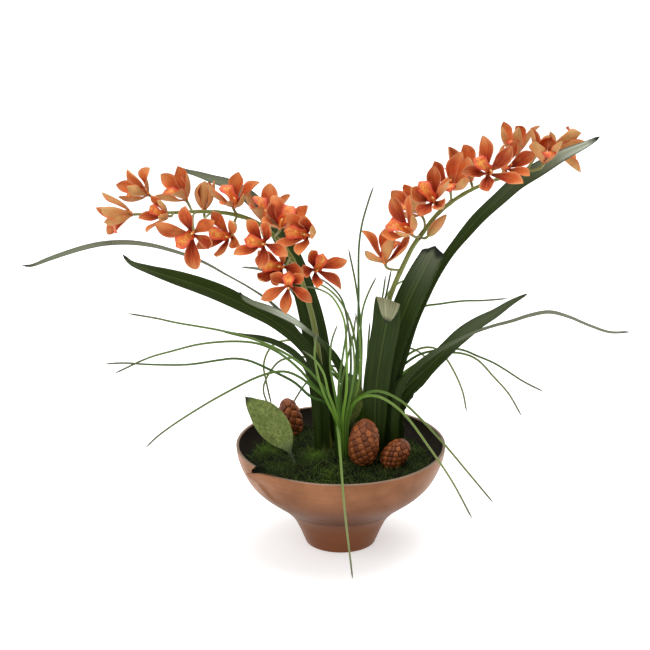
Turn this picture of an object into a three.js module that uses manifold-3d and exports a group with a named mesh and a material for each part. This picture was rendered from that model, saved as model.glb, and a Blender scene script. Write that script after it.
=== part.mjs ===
// A potted cymbidium orchid: a footed copper bowl packed with foam and moss, two arching
// flower spikes, strap leaves, a grass tuft on each side of them, broad leaves and cones.
// Millimetres, +Z up, the front of the bowl faces -Y, and the origin is the centre of its foot.
import * as THREE from "three";
import { mergeVertices } from "three/addons/utils/BufferGeometryUtils.js";
import Module from "manifold-3d";

const wasm = await Module();
wasm.setup();

// Driving dimensions
const RIM_HEIGHT = 103; // foot to rim
const RIM_RADIUS = 103.5; // outside of the rim
const WALL = 2.8; // thickness of the bowl's wall
const POT_COLUMNS = 36; // facets round the bowl
const SLIT_ANGLE = 211; // degrees, where the rim is cut and lapped, at the front left
const SLIT_BOTTOM = 86; // height at which the cut ends
const FOAM_TOP = 73.5; // top of the potting foam
const STAKE_BOTTOM = 60; // every stem and leaf is pushed this deep into the foam
const STAKE_TOP = 93; // above here a stem or leaf starts to lean
const FINEST = 0.1; // details smaller than this are merged away where solids are joined
const CLEARANCE = 0.35; // gap round a stem in its hole, and between seated pieces
const TEPAL_LENGTH = 32; // sepals and petals of a bloom of size 1
const TEPAL_WIDTH = 13.6;
const LIP_LENGTH = 19;
const HUB_RADIUS = 2.7; // the knob that a bloom's tepals grow from
const HUB_HALF = 1.6;

// The front view that the routes are read off: an eye far in front, tilted down a little.
// "across" and "up" are measured on the upright picture plane through the bowl's axis.
const VIEW_TILT = THREE.MathUtils.degToRad(20.3);
const EYE_DISTANCE = 3000;
const PICTURE_CENTRE = [-15.5, 213.5];
const VIEW_RIGHT = new THREE.Vector3(1, 0, 0);
const VIEW_UP = new THREE.Vector3(0, Math.sin(VIEW_TILT), Math.cos(VIEW_TILT));
const VIEW_TOWARD = new THREE.Vector3(0, -Math.cos(VIEW_TILT), Math.sin(VIEW_TILT));

const vec = (x, y, z) => new THREE.Vector3(x, y, z);
const { lerp, degToRad, clamp, smoothstep } = THREE.MathUtils;

// The point seen at (across, up) in the front view that lies at depth back (+Y) of the axis.
function seen(across, up, back) {
  const onPlane = (a, u) => VIEW_RIGHT.clone().multiplyScalar(a).addScaledVector(VIEW_UP, u);
  const eye = onPlane(...PICTURE_CENTRE).addScaledVector(VIEW_TOWARD, EYE_DISTANCE);
  const p = onPlane(across, up);
  const t = (back - eye.y) / (p.y - eye.y);
  return eye.lerp(p, t);
}

// A direction given as (right, up, toward the viewer) in the front view.
function viewDirection([right, up, toward]) {
  return vec(0, 0, 0)
    .addScaledVector(VIEW_RIGHT, right)
    .addScaledVector(VIEW_UP, up)
    .addScaledVector(VIEW_TOWARD, toward)
    .normalize();
}

// The value at t from 0 to 1 on evenly spaced samples.
function sample(values, t) {
  const x = clamp(t, 0, 1) * (values.length - 1);
  const i = Math.min(Math.floor(x), values.length - 2);
  return lerp(values[i], values[i + 1], x - i);
}

// Solids
function toSolid(geometry) {
  const bare = new THREE.BufferGeometry().setAttribute("position", geometry.getAttribute("position"));
  if (geometry.index) bare.setIndex(geometry.index);
  const merged = mergeVertices(bare, 1e-4);
  return new wasm.Manifold(
    new wasm.Mesh({
      numProp: 3,
      vertProperties: merged.attributes.position.array,
      triVerts: new Uint32Array(merged.index.array),
    }),
  );
}

function toGeometry(solid) {
  const mesh = solid.asOriginal().simplify(FINEST).getMesh();
  const position = new Float32Array(mesh.numVert * 3);
  for (let i = 0; i < mesh.numVert; i++)
    position.set(mesh.vertProperties.subarray(i * mesh.numProp, i * mesh.numProp + 3), i * 3);
  const geometry = new THREE.BufferGeometry();
  geometry.setAttribute("position", new THREE.BufferAttribute(position, 3));
  geometry.setIndex(new THREE.BufferAttribute(new Uint32Array(mesh.triVerts), 1));
  return geometry;
}

function union(solids) {
  return solids.reduce((sum, next) => sum.add(next));
}

// The solid without the small sealed hollows that crossing blades can leave between them.
function withoutHollows(solid) {
  return union(solid.decompose().filter((body) => body.volume() > 0));
}

function geometryOf(points, triangles) {
  const geometry = new THREE.BufferGeometry();
  geometry.setAttribute("position", new THREE.Float32BufferAttribute(points.flatMap((p) => p.toArray()), 3));
  geometry.setIndex(triangles);
  return geometry;
}

// A closed skin over rings of points, all with the same count, anticlockwise seen from the
// last ring. A thin blade's ring runs along its top and back along its underside, and the
// underside's quads are split the other way, so that both faces bend along the same lines.
function loft(rings, isBlade = false) {
  const n = rings[0].length;
  const triangles = [];
  const quad = (a, b, c, d, flipped) =>
    flipped ? triangles.push(a, b, d, b, c, d) : triangles.push(a, b, c, a, c, d);
  for (let i = 0; i + 1 < rings.length; i++)
    for (let k = 0; k < n; k++) {
      const next = (k + 1) % n;
      quad(i * n + k, i * n + next, (i + 1) * n + next, (i + 1) * n + k, isBlade && k >= n / 2);
    }
  const last = (rings.length - 1) * n;
  if (isBlade)
    for (let k = 0; k + 1 < n / 2; k++) {
      const [a, b, c, d] = [k, k + 1, n - 2 - k, n - 1 - k];
      if (b !== c) triangles.push(a, c, b);
      triangles.push(a, d, c);
      if (b !== c) triangles.push(last + a, last + b, last + c);
      triangles.push(last + a, last + c, last + d);
    }
  else
    for (let k = 1; k + 1 < n; k++) {
      triangles.push(0, k + 1, k);
      triangles.push(last, last + k, last + k + 1);
    }
  return geometryOf(rings.flat(), triangles);
}

// Side and face directions of a ribbon that runs along `tangent` and shows its face to `face`.
function ribbonFrame(tangent, face) {
  const normal = face.clone().addScaledVector(tangent, -face.dot(tangent)).normalize();
  const side = tangent.clone().cross(normal).normalize();
  return { normal, side };
}

// Six points of a strap leaf's section: a shallow V, `thick` at the midrib, 0.6 at its edges.
function leafSection(centre, { side, normal }, width, thick, fold, back = 0, tangent = null) {
  const edge = 0.3;
  const at = (s, n, pull = 0) => {
    const p = centre.clone().addScaledVector(side, s).addScaledVector(normal, n);
    return pull ? p.addScaledVector(tangent, -pull) : p;
  };
  const lift = fold * width;
  const half = width / 2;
  return [
    at(-half, lift + edge),
    at(0, thick / 2, back),
    at(half, lift + edge),
    at(half, lift - edge),
    at(0, -thick / 2, back),
    at(-half, lift - edge),
  ];
}

// Bowl
const OUTER_PROFILE = [
  [34.5, 0],
  [38.2, 9],
  [41.6, 17],
  [48.5, 29.5],
  [60, 41.3],
  [71.3, 50.2],
  [82.5, 59.2],
  [91, 68.5],
  [96.2, 77.5],
  [99.8, SLIT_BOTTOM],
  [102.7, 95.5],
  [RIM_RADIUS, RIM_HEIGHT],
];
const INNER_PROFILE = [
  [RIM_RADIUS - WALL, RIM_HEIGHT],
  [102.7 - WALL, 95.5],
  [99.8 - WALL, SLIT_BOTTOM],
  [87, 68],
  [66, 49.2],
  [49, 34],
  [39, 17],
  [34, 5],
];
const POT_FLOOR = 4;

// How far the rim dips at `turn` degrees past the cut: most at the cut, nothing at the back.
const rimDip = (turn) => 0.62 * Math.exp(-turn / 9);

function potPoint([radius, height], turn, ending) {
  const split = clamp((height - SLIT_BOTTOM) / (95.5 - SLIT_BOTTOM), 0, 1);
  const lap = clamp((height - 95.5) / (RIM_HEIGHT - 95.5), 0, 1);
  const starts = ending ? 0 : Math.exp(-turn / 16);
  const ends = ending ? 1 : Math.exp(-(360 - turn) / 16);
  const r = radius + split * (2 * starts - 1.3 * ends);
  const shift = ending ? 4 * lap : turn === 0 ? -2 * lap : 0;
  const angle = degToRad(SLIT_ANGLE + turn + shift);
  const dip = ending || height <= SLIT_BOTTOM ? 0 : rimDip(turn);
  const z = height - dip * Math.max(height - SLIT_BOTTOM, 0);
  return vec(r * Math.cos(angle), r * Math.sin(angle), z);
}

function potGeometry() {
  const rows = [...OUTER_PROFILE, ...INNER_PROFILE];
  const points = [];
  const triangles = [];
  const index = rows.map((row) =>
    Array.from({ length: POT_COLUMNS + 1 }, (_, j) => {
      const joined = row[1] <= SLIT_BOTTOM;
      if (j === POT_COLUMNS && joined) return null;
      points.push(potPoint(row, (360 * j) / POT_COLUMNS, j === POT_COLUMNS));
      return points.length - 1;
    }),
  );
  index.forEach((row) => (row[POT_COLUMNS] ??= row[0]));
  for (let i = 0; i + 1 < rows.length; i++)
    for (let j = 0; j < POT_COLUMNS; j++) {
      const [a, b, c, d] = [index[i][j], index[i][j + 1], index[i + 1][j + 1], index[i + 1][j]];
      triangles.push(a, b, c, a, c, d);
    }
  const foot = points.push(vec(0, 0, 0)) - 1;
  const floor = points.push(vec(0, 0, POT_FLOOR)) - 1;
  const last = rows.length - 1;
  for (let j = 0; j < POT_COLUMNS; j++) {
    triangles.push(foot, index[0][j + 1], index[0][j]);
    triangles.push(floor, index[last][j], index[last][j + 1]);
  }
  // The wall's two cut edges, from the slit's bottom up to the rim.
  const top = OUTER_PROFILE.length - 1;
  for (const [column, turned] of [
    [0, false],
    [POT_COLUMNS, true],
  ])
    for (let step = 0; step < 2; step++) {
      const corners = [top - 2 + step, top - 1 + step, top + 2 - step, top + 3 - step];
      const [a, b, c, d] = corners.map((i) => index[i][column]);
      if (turned) triangles.push(a, c, b, a, d, c);
      else triangles.push(a, b, c, a, c, d);
    }
  return geometryOf(points, triangles);
}

// Foam and moss
const FILL_COLUMNS = POT_COLUMNS / 2;
const MOSS_COLUMNS = POT_COLUMNS;
const fillRadius = (height) => {
  const rows = [...INNER_PROFILE].reverse();
  const i = clamp(rows.findIndex((row) => row[1] > height) - 1, 0, rows.length - 2);
  const t = (height - rows[i][1]) / (rows[i + 1][1] - rows[i][1]);
  return lerp(rows[i][0], rows[i + 1][0], t) - CLEARANCE - 0.15;
};

function foamGeometry() {
  const heights = [5.6, 17, 34, 49.2, 68, FOAM_TOP];
  const rings = heights.map((h) =>
    Array.from({ length: FILL_COLUMNS }, (_, j) => {
      const angle = degToRad(SLIT_ANGLE + (360 * j) / FILL_COLUMNS);
      return vec(fillRadius(h) * Math.cos(angle), fillRadius(h) * Math.sin(angle), h);
    }),
  );
  return loft(rings);
}

// The moss stands high on the left and in the middle, and low on the right.
function mossHeight(x, y) {
  const mound = 8 * Math.exp(-(((x + 5) / 55) ** 2) - ((y + 10) / 50) ** 2);
  const lumps = 1.3 * Math.sin(x / 7.5) * Math.cos(y / 6.2) + 0.9 * Math.sin((x + y) / 4.9);
  return 86 + mound - 0.04 * x + lumps;
}

function mossGeometry() {
  const points = [];
  const triangles = [];
  const shares = [1, 0.76, 0.48, 0.2];
  const ring = (share, height) =>
    Array.from({ length: MOSS_COLUMNS }, (_, j) => {
      const angle = degToRad(SLIT_ANGLE + (360 * j) / MOSS_COLUMNS);
      const at = (r) => [r * Math.cos(angle), r * Math.sin(angle)];
      const z = height ?? lerp(77, mossHeight(...at(95 * share)), share === 1 ? 0.5 : 1);
      const reach = fillRadius(share === 1 ? z : 76);
      return points.push(vec(...at(reach * share), z)) - 1;
    });
  const rings = [ring(1, FOAM_TOP + CLEARANCE), ...shares.map((s) => ring(s))];
  const n = MOSS_COLUMNS;
  for (let i = 0; i + 1 < rings.length; i++)
    for (let j = 0; j < n; j++) {
      const k = (j + 1) % n;
      triangles.push(rings[i][j], rings[i][k], rings[i + 1][k]);
      triangles.push(rings[i][j], rings[i + 1][k], rings[i + 1][j]);
    }
  const under = points.push(vec(0, 0, FOAM_TOP + CLEARANCE)) - 1;
  const crown = points.push(vec(0, 0, mossHeight(0, 0))) - 1;
  for (let j = 0; j < n; j++) {
    const k = (j + 1) % n;
    triangles.push(under, rings[0][k], rings[0][j]);
    triangles.push(crown, rings.at(-1)[j], rings.at(-1)[k]);
  }
  return geometryOf(points, triangles);
}

// Plain holes for the stakes, and dimples for the cones, cut from the moss and the foam.
const holes = [];

function squareHole([x, y], turn, width, depth) {
  const low = STAKE_BOTTOM - CLEARANCE;
  const box = new THREE.BoxGeometry(width + 2 * CLEARANCE, depth + 2 * CLEARANCE, 60);
  box.rotateZ(turn).translate(x, y, low + 30);
  holes.push(toSolid(box));
}

function roundHole([x, y], radius, sides, bottom = STAKE_BOTTOM) {
  const reach = (radius + CLEARANCE) / Math.cos(Math.PI / sides);
  const cylinder = new THREE.CylinderGeometry(reach, reach, 60, sides);
  cylinder.rotateX(Math.PI / 2).translate(x, y, bottom - CLEARANCE + 30);
  holes.push(toSolid(cylinder));
}

// Strap leaves. Widths are evenly spaced from the root to the tip, and `faces` are the
// directions that the leaf's upper side looks in, at the root, half way and at the tip.
const LEAVES = [
  {
    name: "leaf_left_1", // the broad dark leaf that reaches far out to the left
    root: [-17, 6],
    route: [
      [-17, 130, 6], [-24, 172, 4], [-40, 196, 0], [-66, 217, -6], [-92, 231, -12], [-118, 243.5, -20],
      [-143, 253, -30], [-168, 261, -40], [-192, 268.5, -50], [-210, 275.5, -57], [-218, 284, -60],
    ],
    width: [11, 12, 12, 12, 14, 16, 18, 19, 17, 10, 3],
    faces: [[0, -1, 0.2], [0.3, -0.75, 0.65], [0.2, -0.6, 0.8]],
    fold: 0.1,
  },
  {
    name: "leaf_left_2", // a narrow leaf across the front of the spike
    root: [-2, 2],
    route: [
      [4, 140, -2], [4, 158, -5], [-1, 173, -8], [-10, 187, -12], [-21, 198.5, -15], [-31, 206.5, -17],
      [-46, 217.5, -19], [-69, 229, -21], [-84, 234.5, -23], [-96, 240, -25], [-101, 247, -25],
    ],
    width: [8, 8, 8, 8, 8.5, 8, 4, 6, 7.5, 7, 2.5],
    faces: [[0, -1, 0.1], [-0.3, -0.8, 0.2], [0, -0.9, -0.3]],
    fold: 0.1,
  },
  {
    name: "leaf_left_3", // the longest leaf, arching out to the far left
    root: [-15, 21],
    route: [
      [-22, 150, 20], [-29, 175, 20], [-40, 199, 19], [-54, 219, 17], [-70, 236, 14], [-91, 250.5, 11],
      [-116, 264.5, 8], [-134, 274.5, 6], [-150.5, 281.5, 4], [-170.5, 288, 0], [-190.5, 293, -4],
      [-212, 295.5, -8], [-236, 294.5, -12], [-256, 290.5, -16], [-276, 284.5, -20], [-292, 279, -23],
      [-310, 272.5, -26], [-318.5, 273, -27],
    ],
    width: [8, 9, 9, 9, 8, 6, 4.5, 4.5, 5.5, 7, 9, 9, 9, 9, 7, 3],
    faces: [[0, -1, 0.1], [0.35, -0.05, 1], [0.2, -0.2, 1]],
    fold: 0.08,
  },
  {
    name: "leaf_left_4", // a short dark leaf low on the left
    root: [-22, -4],
    route: [
      [-26, 140, -8], [-30, 160, -12], [-39, 177, -16], [-51, 188, -20], [-65, 195.5, -24], [-79, 200, -27],
      [-96, 202.5, -30], [-118.5, 207, -34],
    ],
    width: [6, 7, 8, 9, 9, 9, 7, 5, 2],
    faces: [[0, -1, 0.1], [0.3, -0.5, 0.9], [0.15, -0.6, 0.8]],
    fold: 0.1,
  },
  {
    name: "leaf_left_5", // the tall back leaf that follows the left spike
    root: [-8, 27],
    route: [
      [-14, 140, 29], [-20, 165, 30], [-24, 194, 32], [-30, 224, 34], [-38.5, 253.5, 36], [-49, 281, 38],
      [-62, 306, 40], [-78, 328, 42], [-96, 345, 44], [-112.5, 354.5, 46], [-128.5, 359.5, 47],
      [-143.5, 364.5, 48], [-154.5, 367.5, 48], [-163, 371.5, 48],
    ],
    width: [12, 16, 20, 24, 25, 24, 22, 20, 18, 16, 14, 11, 7, 2.5],
    faces: [[0, -1, 0.1], [0.2, -1, 0.2], [0.2, -0.75, 0.65]],
    fold: 0.07,
  },
  {
    name: "leaf_left_6", // a narrow leaf behind the others
    root: [-20, 35],
    route: [
      [-20, 140, 42], [-28.5, 198, 50], [-40, 236, 54], [-56.5, 257.5, 56], [-78.5, 268.5, 56],
      [-100, 271.5, 56],
    ],
    width: [8, 8, 8, 8, 7, 5, 2],
    faces: [[0, -1, 0.1], [0.3, -0.6, 0.6], [0, -0.4, 1]],
    fold: 0.1,
  },
  {
    name: "leaf_right_1", // the longest leaf on the right, behind the right spike
    root: [43, 25],
    route: [
      [48, 150, 26], [59, 188, 26], [69.5, 217, 25], [83, 243, 24], [97, 267, 24], [109.5, 286, 24],
      [122.5, 302.5, 24], [139, 321.5, 23], [159.5, 340.5, 22], [177.5, 356.5, 21], [195.5, 368, 20],
      [222, 383.5, 16], [247, 395, 15], [259.5, 402, 14],
    ],
    width: [13, 18, 20, 20, 18, 14, 10, 9.5, 12, 13, 14.5, 14.5, 10, 3],
    faces: [[0, -1, 0.1], [-0.3, -1, 0.3], [-0.3, -0.9, -0.1]],
    fold: 0.09,
  },
  {
    name: "leaf_right_2", // a broad leaf with a notched end
    root: [39, 15],
    route: [
      [41, 143, 15], [47, 174, 15], [55.5, 204, 14], [68, 237, 12], [82, 266, 10], [94, 288.5, 8],
    ],
    width: [13, 18, 22, 24.5, 26.5, 26, 22],
    faces: [[0, -1, 0.1], [-0.2, -1, 0.25], [-0.2, -1, 0.3]],
    fold: 0.07,
    notch: 5,
  },
  {
    name: "leaf_right_3", // a broad leaf whose end is folded down over its front
    root: [34, -3],
    route: [
      [35, 140, -4], [37, 160, -6], [41, 189, -8], [45.5, 214, -10], [47, 231, -11], [47.6, 239, -15],
      [47.6, 234, -20.5], [46.8, 225, -22], [46, 215.5, -22.5],
    ],
    width: [12, 18, 22, 24, 25, 25.5, 26, 26, 25, 22, 13],
    faces: [[0, -1, 0.1], [-0.1, -1, 0.2], [0, 0.9, 0.35]],
    fold: 0.03,
    bend: true,
    tipward: 1.6,
    steps: 12,
  },
  {
    name: "leaf_right_4", // a pointed leaf to the right, wide and ragged at its foot
    root: [54, 20],
    route: [
      [54, 132, 20], [64, 148.5, 20], [82, 166, 20], [99, 182, 21], [117.5, 200, 22], [137, 215, 23],
      [154.5, 225, 24], [171, 236, 25], [187.5, 245, 26],
    ],
    width: [14, 24, 27, 22, 16, 15, 15, 11, 7, 2],
    faces: [[0, -1, 0.1], [-0.4, -0.9, 0.3], [-0.3, -0.8, 0.4]],
    fold: 0.09,
  },
  {
    name: "leaf_right_5", // a long narrow leaf trailing to the far right
    root: [53, 1],
    route: [
      [58, 146, 1], [74, 170, 1], [95, 186, 0], [114.5, 196.5, -1], [133.5, 205.5, -2], [152.5, 212, -4],
      [171.5, 217, -6], [190.5, 223, -8], [209.5, 226, -10], [229, 221, -12], [248, 213, -14],
      [269.5, 206, -16], [289.5, 206.5, -18],
    ],
    width: [8, 8, 7.5, 7, 7, 7, 7, 7, 7, 7, 6, 5, 3],
    faces: [[0, -1, 0.1], [-0.3, -0.1, 1], [0.2, -0.15, 1]],
    fold: 0.1,
  },
];
const MIDRIB = 1.1;

function faceAt(faces, t) {
  const [a, b, c] = faces.map((f) => vec(...f).normalize());
  return (t < 0.5 ? a.lerp(b, t * 2) : b.lerp(c, t * 2 - 1)).normalize();
}

function strapLeaf({ root, route, width, faces, fold, notch = 0, bend = false, tipward = 1, steps = 9 }) {
  const points = [vec(...root, STAKE_TOP), ...route.map((p) => seen(...p))];
  const curve = new THREE.CatmullRomCurve3(points, false, "centripetal");
  const stakeFace = vec(faces[0][0], faces[0][1], 0).normalize();
  const up = vec(0, 0, 1);
  const stakeFrame = ribbonFrame(up, stakeFace);
  const stations = Math.max(steps, Math.ceil(curve.getLength() / 23));
  const rings = [STAKE_BOTTOM, STAKE_TOP].map((z) =>
    leafSection(vec(...root, z), stakeFrame, width[0], MIDRIB, 0),
  );
  let carried = stakeFace;
  for (let i = 1; i <= stations; i++) {
    const t = 1 - (1 - i / stations) ** tipward;
    const centre = curve.getPointAt(t);
    const tangent = curve.getTangentAt(t);
    // A bent leaf turns its face with the bend, others look where `faces` says.
    const frame = ribbonFrame(tangent, bend ? carried : faceAt(faces, t));
    carried = frame.normal;
    const pull = i === stations ? notch : 0;
    rings.push(leafSection(centre, frame, sample(width, t), MIDRIB, fold, pull, tangent));
  }
  squareHole(root, Math.atan2(stakeFrame.side.y, stakeFrame.side.x), width[0], MIDRIB);
  return loft(rings, true);
}

// Broad leaves on short stalks, set among the moss.
const BROAD_LEAVES = [
  {
    name: "broad_leaf_1",
    root: [-45, -26],
    route: [[-50, 85, -20], [-56, 97, -13], [-66, 111, -9], [-77, 124, -8], [-88, 134, -9], [-95.5, 142, -10]],
    width: [3, 4, 20, 29, 31, 27, 16, 2],
    faces: [[0.1, -1, 0.1], [0.15, -0.9, 0.35], [0.1, -0.9, 0.4]],
    fold: 0.05,
  },
  {
    name: "broad_leaf_2",
    root: [9, 41],
    route: [[9, 112, 41], [9, 125, 41], [9.5, 139, 41], [10, 153, 41], [9, 166, 41]],
    width: [3, 5, 18, 25, 26, 20, 3],
    faces: [[0, -1, 0], [0, -1, 0.15], [0, -1, 0.2]],
    fold: 0.05,
  },
];

// Blooms. `at` is the hub in the front view (across, up, back), `face` is the way the bloom
// looks (right, up, toward), `lip` the clock angle of its lip in the front view in degrees
// anticlockwise from the right, and `open` runs from 0, cupped, to 1, a flat star. `spread` says
// how much more than that each tepal opens, in the order of TEPALS.
const BLOOMS_LEFT = [
  {
    at: [-209, 324, -14], face: [-1, -0.03, 0.3], lip: 265, open: 0.15, size: 1.12,
    spread: [0.15, 0, 0, 0.4, 0],
  },
  {
    at: [-193, 344, 14], face: [-0.75, 0.35, 0.5], lip: 190, open: 0.25, size: 1,
    spread: [0.12, 0, 0, 0, 0],
  },
  { at: [-174, 323, -34], face: [-0.65, 0.15, 0.75], lip: 150, open: 0.4, size: 0.85 },
  {
    at: [-155, 339, 27], face: [-0.5, 0.7, 0.5], lip: 172, open: 0.32, size: 1.08,
    spread: [-0.05, 0.1, 0, -0.1, -0.05],
  },
  {
    at: [-148, 304.5, -54], face: [-0.15, -0.1, 1], lip: 220, open: 0.78, size: 1.08,
    spread: [-0.05, -0.1, 0.15, 0.05, -0.1],
  },
  { at: [-136, 329, 34], face: [0.05, 0.95, 0.15], lip: 60, open: 0.06, size: 0.95 },
  {
    at: [-111, 302.5, -32], face: [-0.4, -0.05, 0.9], lip: 163, open: 0.6, size: 1,
    spread: [-0.2, -0.1, 0.2, 0.15, 0],
  },
  { at: [-107, 332, 6], face: [0, 0.75, 0.6], lip: 120, open: 0.4, size: 1.1, spread: [0, 0.1, 0.2, 0, 0] },
  {
    at: [-78, 318, 23], face: [0.15, 0.8, 0.4], lip: 100, open: 0.35, size: 1.2,
    spread: [0, 0.2, 0, 0.1, 0],
  },
  {
    at: [-77, 295, -62], face: [-0.2, -0.02, 0.97], lip: 165, open: 0.58, size: 1,
    spread: [0.05, 0, 0, -0.1, 0],
  },
  {
    at: [-60, 311, -15], face: [0.2, 0.7, 0.6], lip: 60, open: 0.4, size: 1.12,
    spread: [0.1, 0, 0.15, 0, 0.1],
  },
  {
    at: [-33, 303, -48], face: [-0.4, 0.1, 0.9], lip: 170, open: 0.3, size: 1.1,
    spread: [0, 0, 0.1, 0.1, 0],
  },
  {
    at: [-25.5, 269, -10], face: [0.3, 0.05, 0.95], lip: 74, open: 0.7, size: 0.95,
    spread: [-0.3, -0.1, -0.2, 0.15, 0],
  },
  {
    at: [-58, 271.5, -26], face: [-0.45, 0.05, 0.9], lip: 175, open: 0.45, size: 1.05,
    spread: [0.3, 0, 0.1, 0, 0],
  },
  {
    at: [-52, 253, -60], face: [0, -0.1, 1], lip: 90, open: 0.6, size: 0.9,
    spread: [0.15, 0.15, -0.1, -0.1, 0.05],
  },
];
const BLOOMS_RIGHT = [
  {
    at: [45, 276, -14], face: [0, 0.85, 0.45], lip: 60, open: 0.2, size: 1.15,
    spread: [0.4, 0.1, 0, 0.2, 0],
  },
  {
    at: [70, 305, -28], face: [-0.55, 0.5, 0.65], lip: 165, open: 0.4, size: 1.18,
    spread: [0, 0, 0, 0.15, 0.1],
  },
  { at: [80, 324, 16], face: [-0.6, 0.65, 0.45], lip: 180, open: 0.35, size: 1.18 },
  {
    at: [93, 337, -40], face: [-0.2, 0.4, 0.9], lip: 130, open: 0.38, size: 1.12,
    spread: [0, 0.2, 0, 0.2, 0],
  },
  { at: [110, 349, -5], face: [-0.05, 0.65, 0.75], lip: 265, open: 0.45, size: 1.14 },
  { at: [130, 358, 34], face: [-0.3, 0.8, 0.4], lip: 200, open: 0.3, size: 1.18 },
  {
    at: [147, 365, -38], face: [0.1, 0.3, 0.95], lip: 150, open: 0.55, size: 1.1,
    spread: [0.3, 0.1, 0, 0.2, 0],
  },
  { at: [165, 370, -8], face: [0.35, 0.35, 0.8], lip: 200, open: 0.4, size: 1 },
  {
    at: [176, 384, 12], face: [-0.1, 0.95, 0.3], lip: 270, open: 0.2, size: 1.1,
    spread: [0, 0.15, 0, 0, 0.1],
  },
  {
    at: [203, 376.5, -14], face: [0.1, 0.8, 0.5], lip: 270, open: 0.2, size: 1.12,
    spread: [0, 0, 0, 0.1, 0.1],
  },
  { at: [214, 393, 42], face: [0.85, 0.1, -0.1], lip: 100, open: 0.5, size: 1.08 },
];
// Three sepals and, set a little further in, two petals: [degrees from the upper sepal, inset]
const TEPALS = [[0, 0], [66, 0.13], [131, 0.03], [229, 0.05], [294, 0.15]];

// A bloom's own frame: z the way it looks, y towards its upper sepal, away from its lip.
function bloomBasis({ at, face, lip }) {
  const z = viewDirection(face);
  const angle = degToRad(lip);
  const toLip = viewDirection([Math.cos(angle), Math.sin(angle), 0]);
  const y = toLip.addScaledVector(z, -toLip.dot(z)).normalize().negate();
  const x = y.clone().cross(z);
  return { origin: seen(...at), x, y, z };
}

// Width of a tepal at s from 0 at the hub to 1 at its point, as a share of its widest: narrow at
// the hub, widest at seven tenths and blunt at the point.
const tepalShare = (s) =>
  (0.15 + 0.85 * smoothstep(s, 0, 0.68)) * (1 - clamp((s - 0.7) / 0.3, 0, 1) ** 1.8) ** 0.75;

// A tepal follows an arc: its rise off the bloom's plane goes from `low` to `high`.
function tepal(turn, inset, open, size) {
  const length = TEPAL_LENGTH * size;
  const low = lerp(0.6, 0.3, open) + inset;
  const high = lerp(2.05, -0.1, open);
  const radial = vec(Math.sin(turn), Math.cos(turn), 0);
  const along = vec(0, 0, 1);
  const side = radial.clone().cross(along);
  const stations = [0.03, 0.38, 0.72, 0.985];
  const rings = stations.map((s) => {
    const rise = lerp(low, high, s);
    const bendRadius = length / (high - low);
    const out = bendRadius * (Math.sin(rise) - Math.sin(low)) + 0.8;
    const lift = bendRadius * (Math.cos(low) - Math.cos(rise)) + 4 * inset - 0.3;
    const centre = radial.clone().multiplyScalar(out).addScaledVector(along, lift);
    const normal = radial.clone().multiplyScalar(-Math.sin(rise)).addScaledVector(along, Math.cos(rise));
    const half = Math.max((TEPAL_WIDTH * size * tepalShare(s)) / 2, 0.5);
    const cup = 0.22 * half;
    const point = (a, b) => centre.clone().addScaledVector(side, a).addScaledVector(normal, b);
    return [point(0, 0.55), point(half, cup), point(0, -0.55), point(-half, cup)];
  });
  return loft(rings);
}

// The lip runs forward under the column as a trough, then rolls down and spreads.
function lip(size) {
  const stations = [
    { y: -0.6, z: 0.6, half: 1.6, edge: 1.4, rise: 0.1 },
    { y: -3.4, z: 8, half: 4.6, edge: 4.4, rise: 0.1 },
    { y: -7.4, z: 14.6, half: 5.4, edge: 1.2, rise: -0.6 },
    { y: -13, z: 16, half: 1.6, edge: -0.4, rise: -1.5 },
  ];
  const rings = stations.map(({ y, z, half, edge, rise }) => {
    const [ny, nz] = [Math.cos(rise), -Math.sin(rise)];
    const at = (a, b) => vec(a, y + b * ny, z + b * nz).multiplyScalar((size * LIP_LENGTH) / 19);
    return [at(-half, edge), at(0, -0.55), at(half, edge), at(half * 0.86, edge + 0.75), at(0, 0.45), at(-half * 0.86, edge + 0.75)];
  });
  return loft(rings);
}

function bloomGeometry({ open, size, spread = [0, 0, 0, 0, 0] }) {
  const hub = new THREE.CylinderGeometry(HUB_RADIUS * 0.8, HUB_RADIUS * 0.8, 2 * HUB_HALF, 6);
  hub.rotateX(Math.PI / 2).rotateZ(0.27);
  const tepals = TEPALS.map(([turn, inset], k) =>
    toSolid(tepal(degToRad(turn), inset, open + spread[k], size)),
  );
  return toGeometry(union([toSolid(hub), ...tepals, toSolid(lip(size))]));
}

// Flower spikes: an arching stem with a stalk to the back of each bloom.
const SPIKES = [
  {
    name: "flower_stem_left",
    root: [-11, 13],
    route: [
      [-18, 139, 13], [-21.5, 178.5, 12], [-26.5, 214, 10], [-32, 236, 8], [-41, 263, 6], [-53, 287, 4],
      [-69, 305, 2], [-88, 318, 0], [-112, 325, -2], [-140, 327, -4], [-165, 326, -6], [-188, 326, -8],
    ],
    blooms: BLOOMS_LEFT,
  },
  {
    name: "flower_stem_right",
    root: [29, 9],
    route: [
      [36, 139, 9], [40.5, 188.5, 8], [47, 233, 6], [56, 258.5, 4], [64, 275.5, 3], [72, 291.5, 2],
      [82, 305.5, 1], [97.5, 325, 0], [117.5, 341, 0], [140, 353, 0], [168, 363, 0], [190, 370, 0],
    ],
    blooms: BLOOMS_RIGHT,
    bud: { at: [87, 302, -9], tip: [106, 324, -10] },
  },
];
const STEM_RADII = [3.1, 3, 2.7, 2.3, 1.9, 1.3];
const STALK_RADIUS = 1.15;

function ringAt(centre, tangent, radius, sides, reference = vec(0, 1, 0)) {
  const { normal, side } = ribbonFrame(tangent, reference);
  return Array.from({ length: sides }, (_, k) => {
    const angle = (2 * Math.PI * k) / sides;
    return centre
      .clone()
      .addScaledVector(side, -radius * Math.cos(angle))
      .addScaledVector(normal, radius * Math.sin(angle));
  });
}

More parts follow.
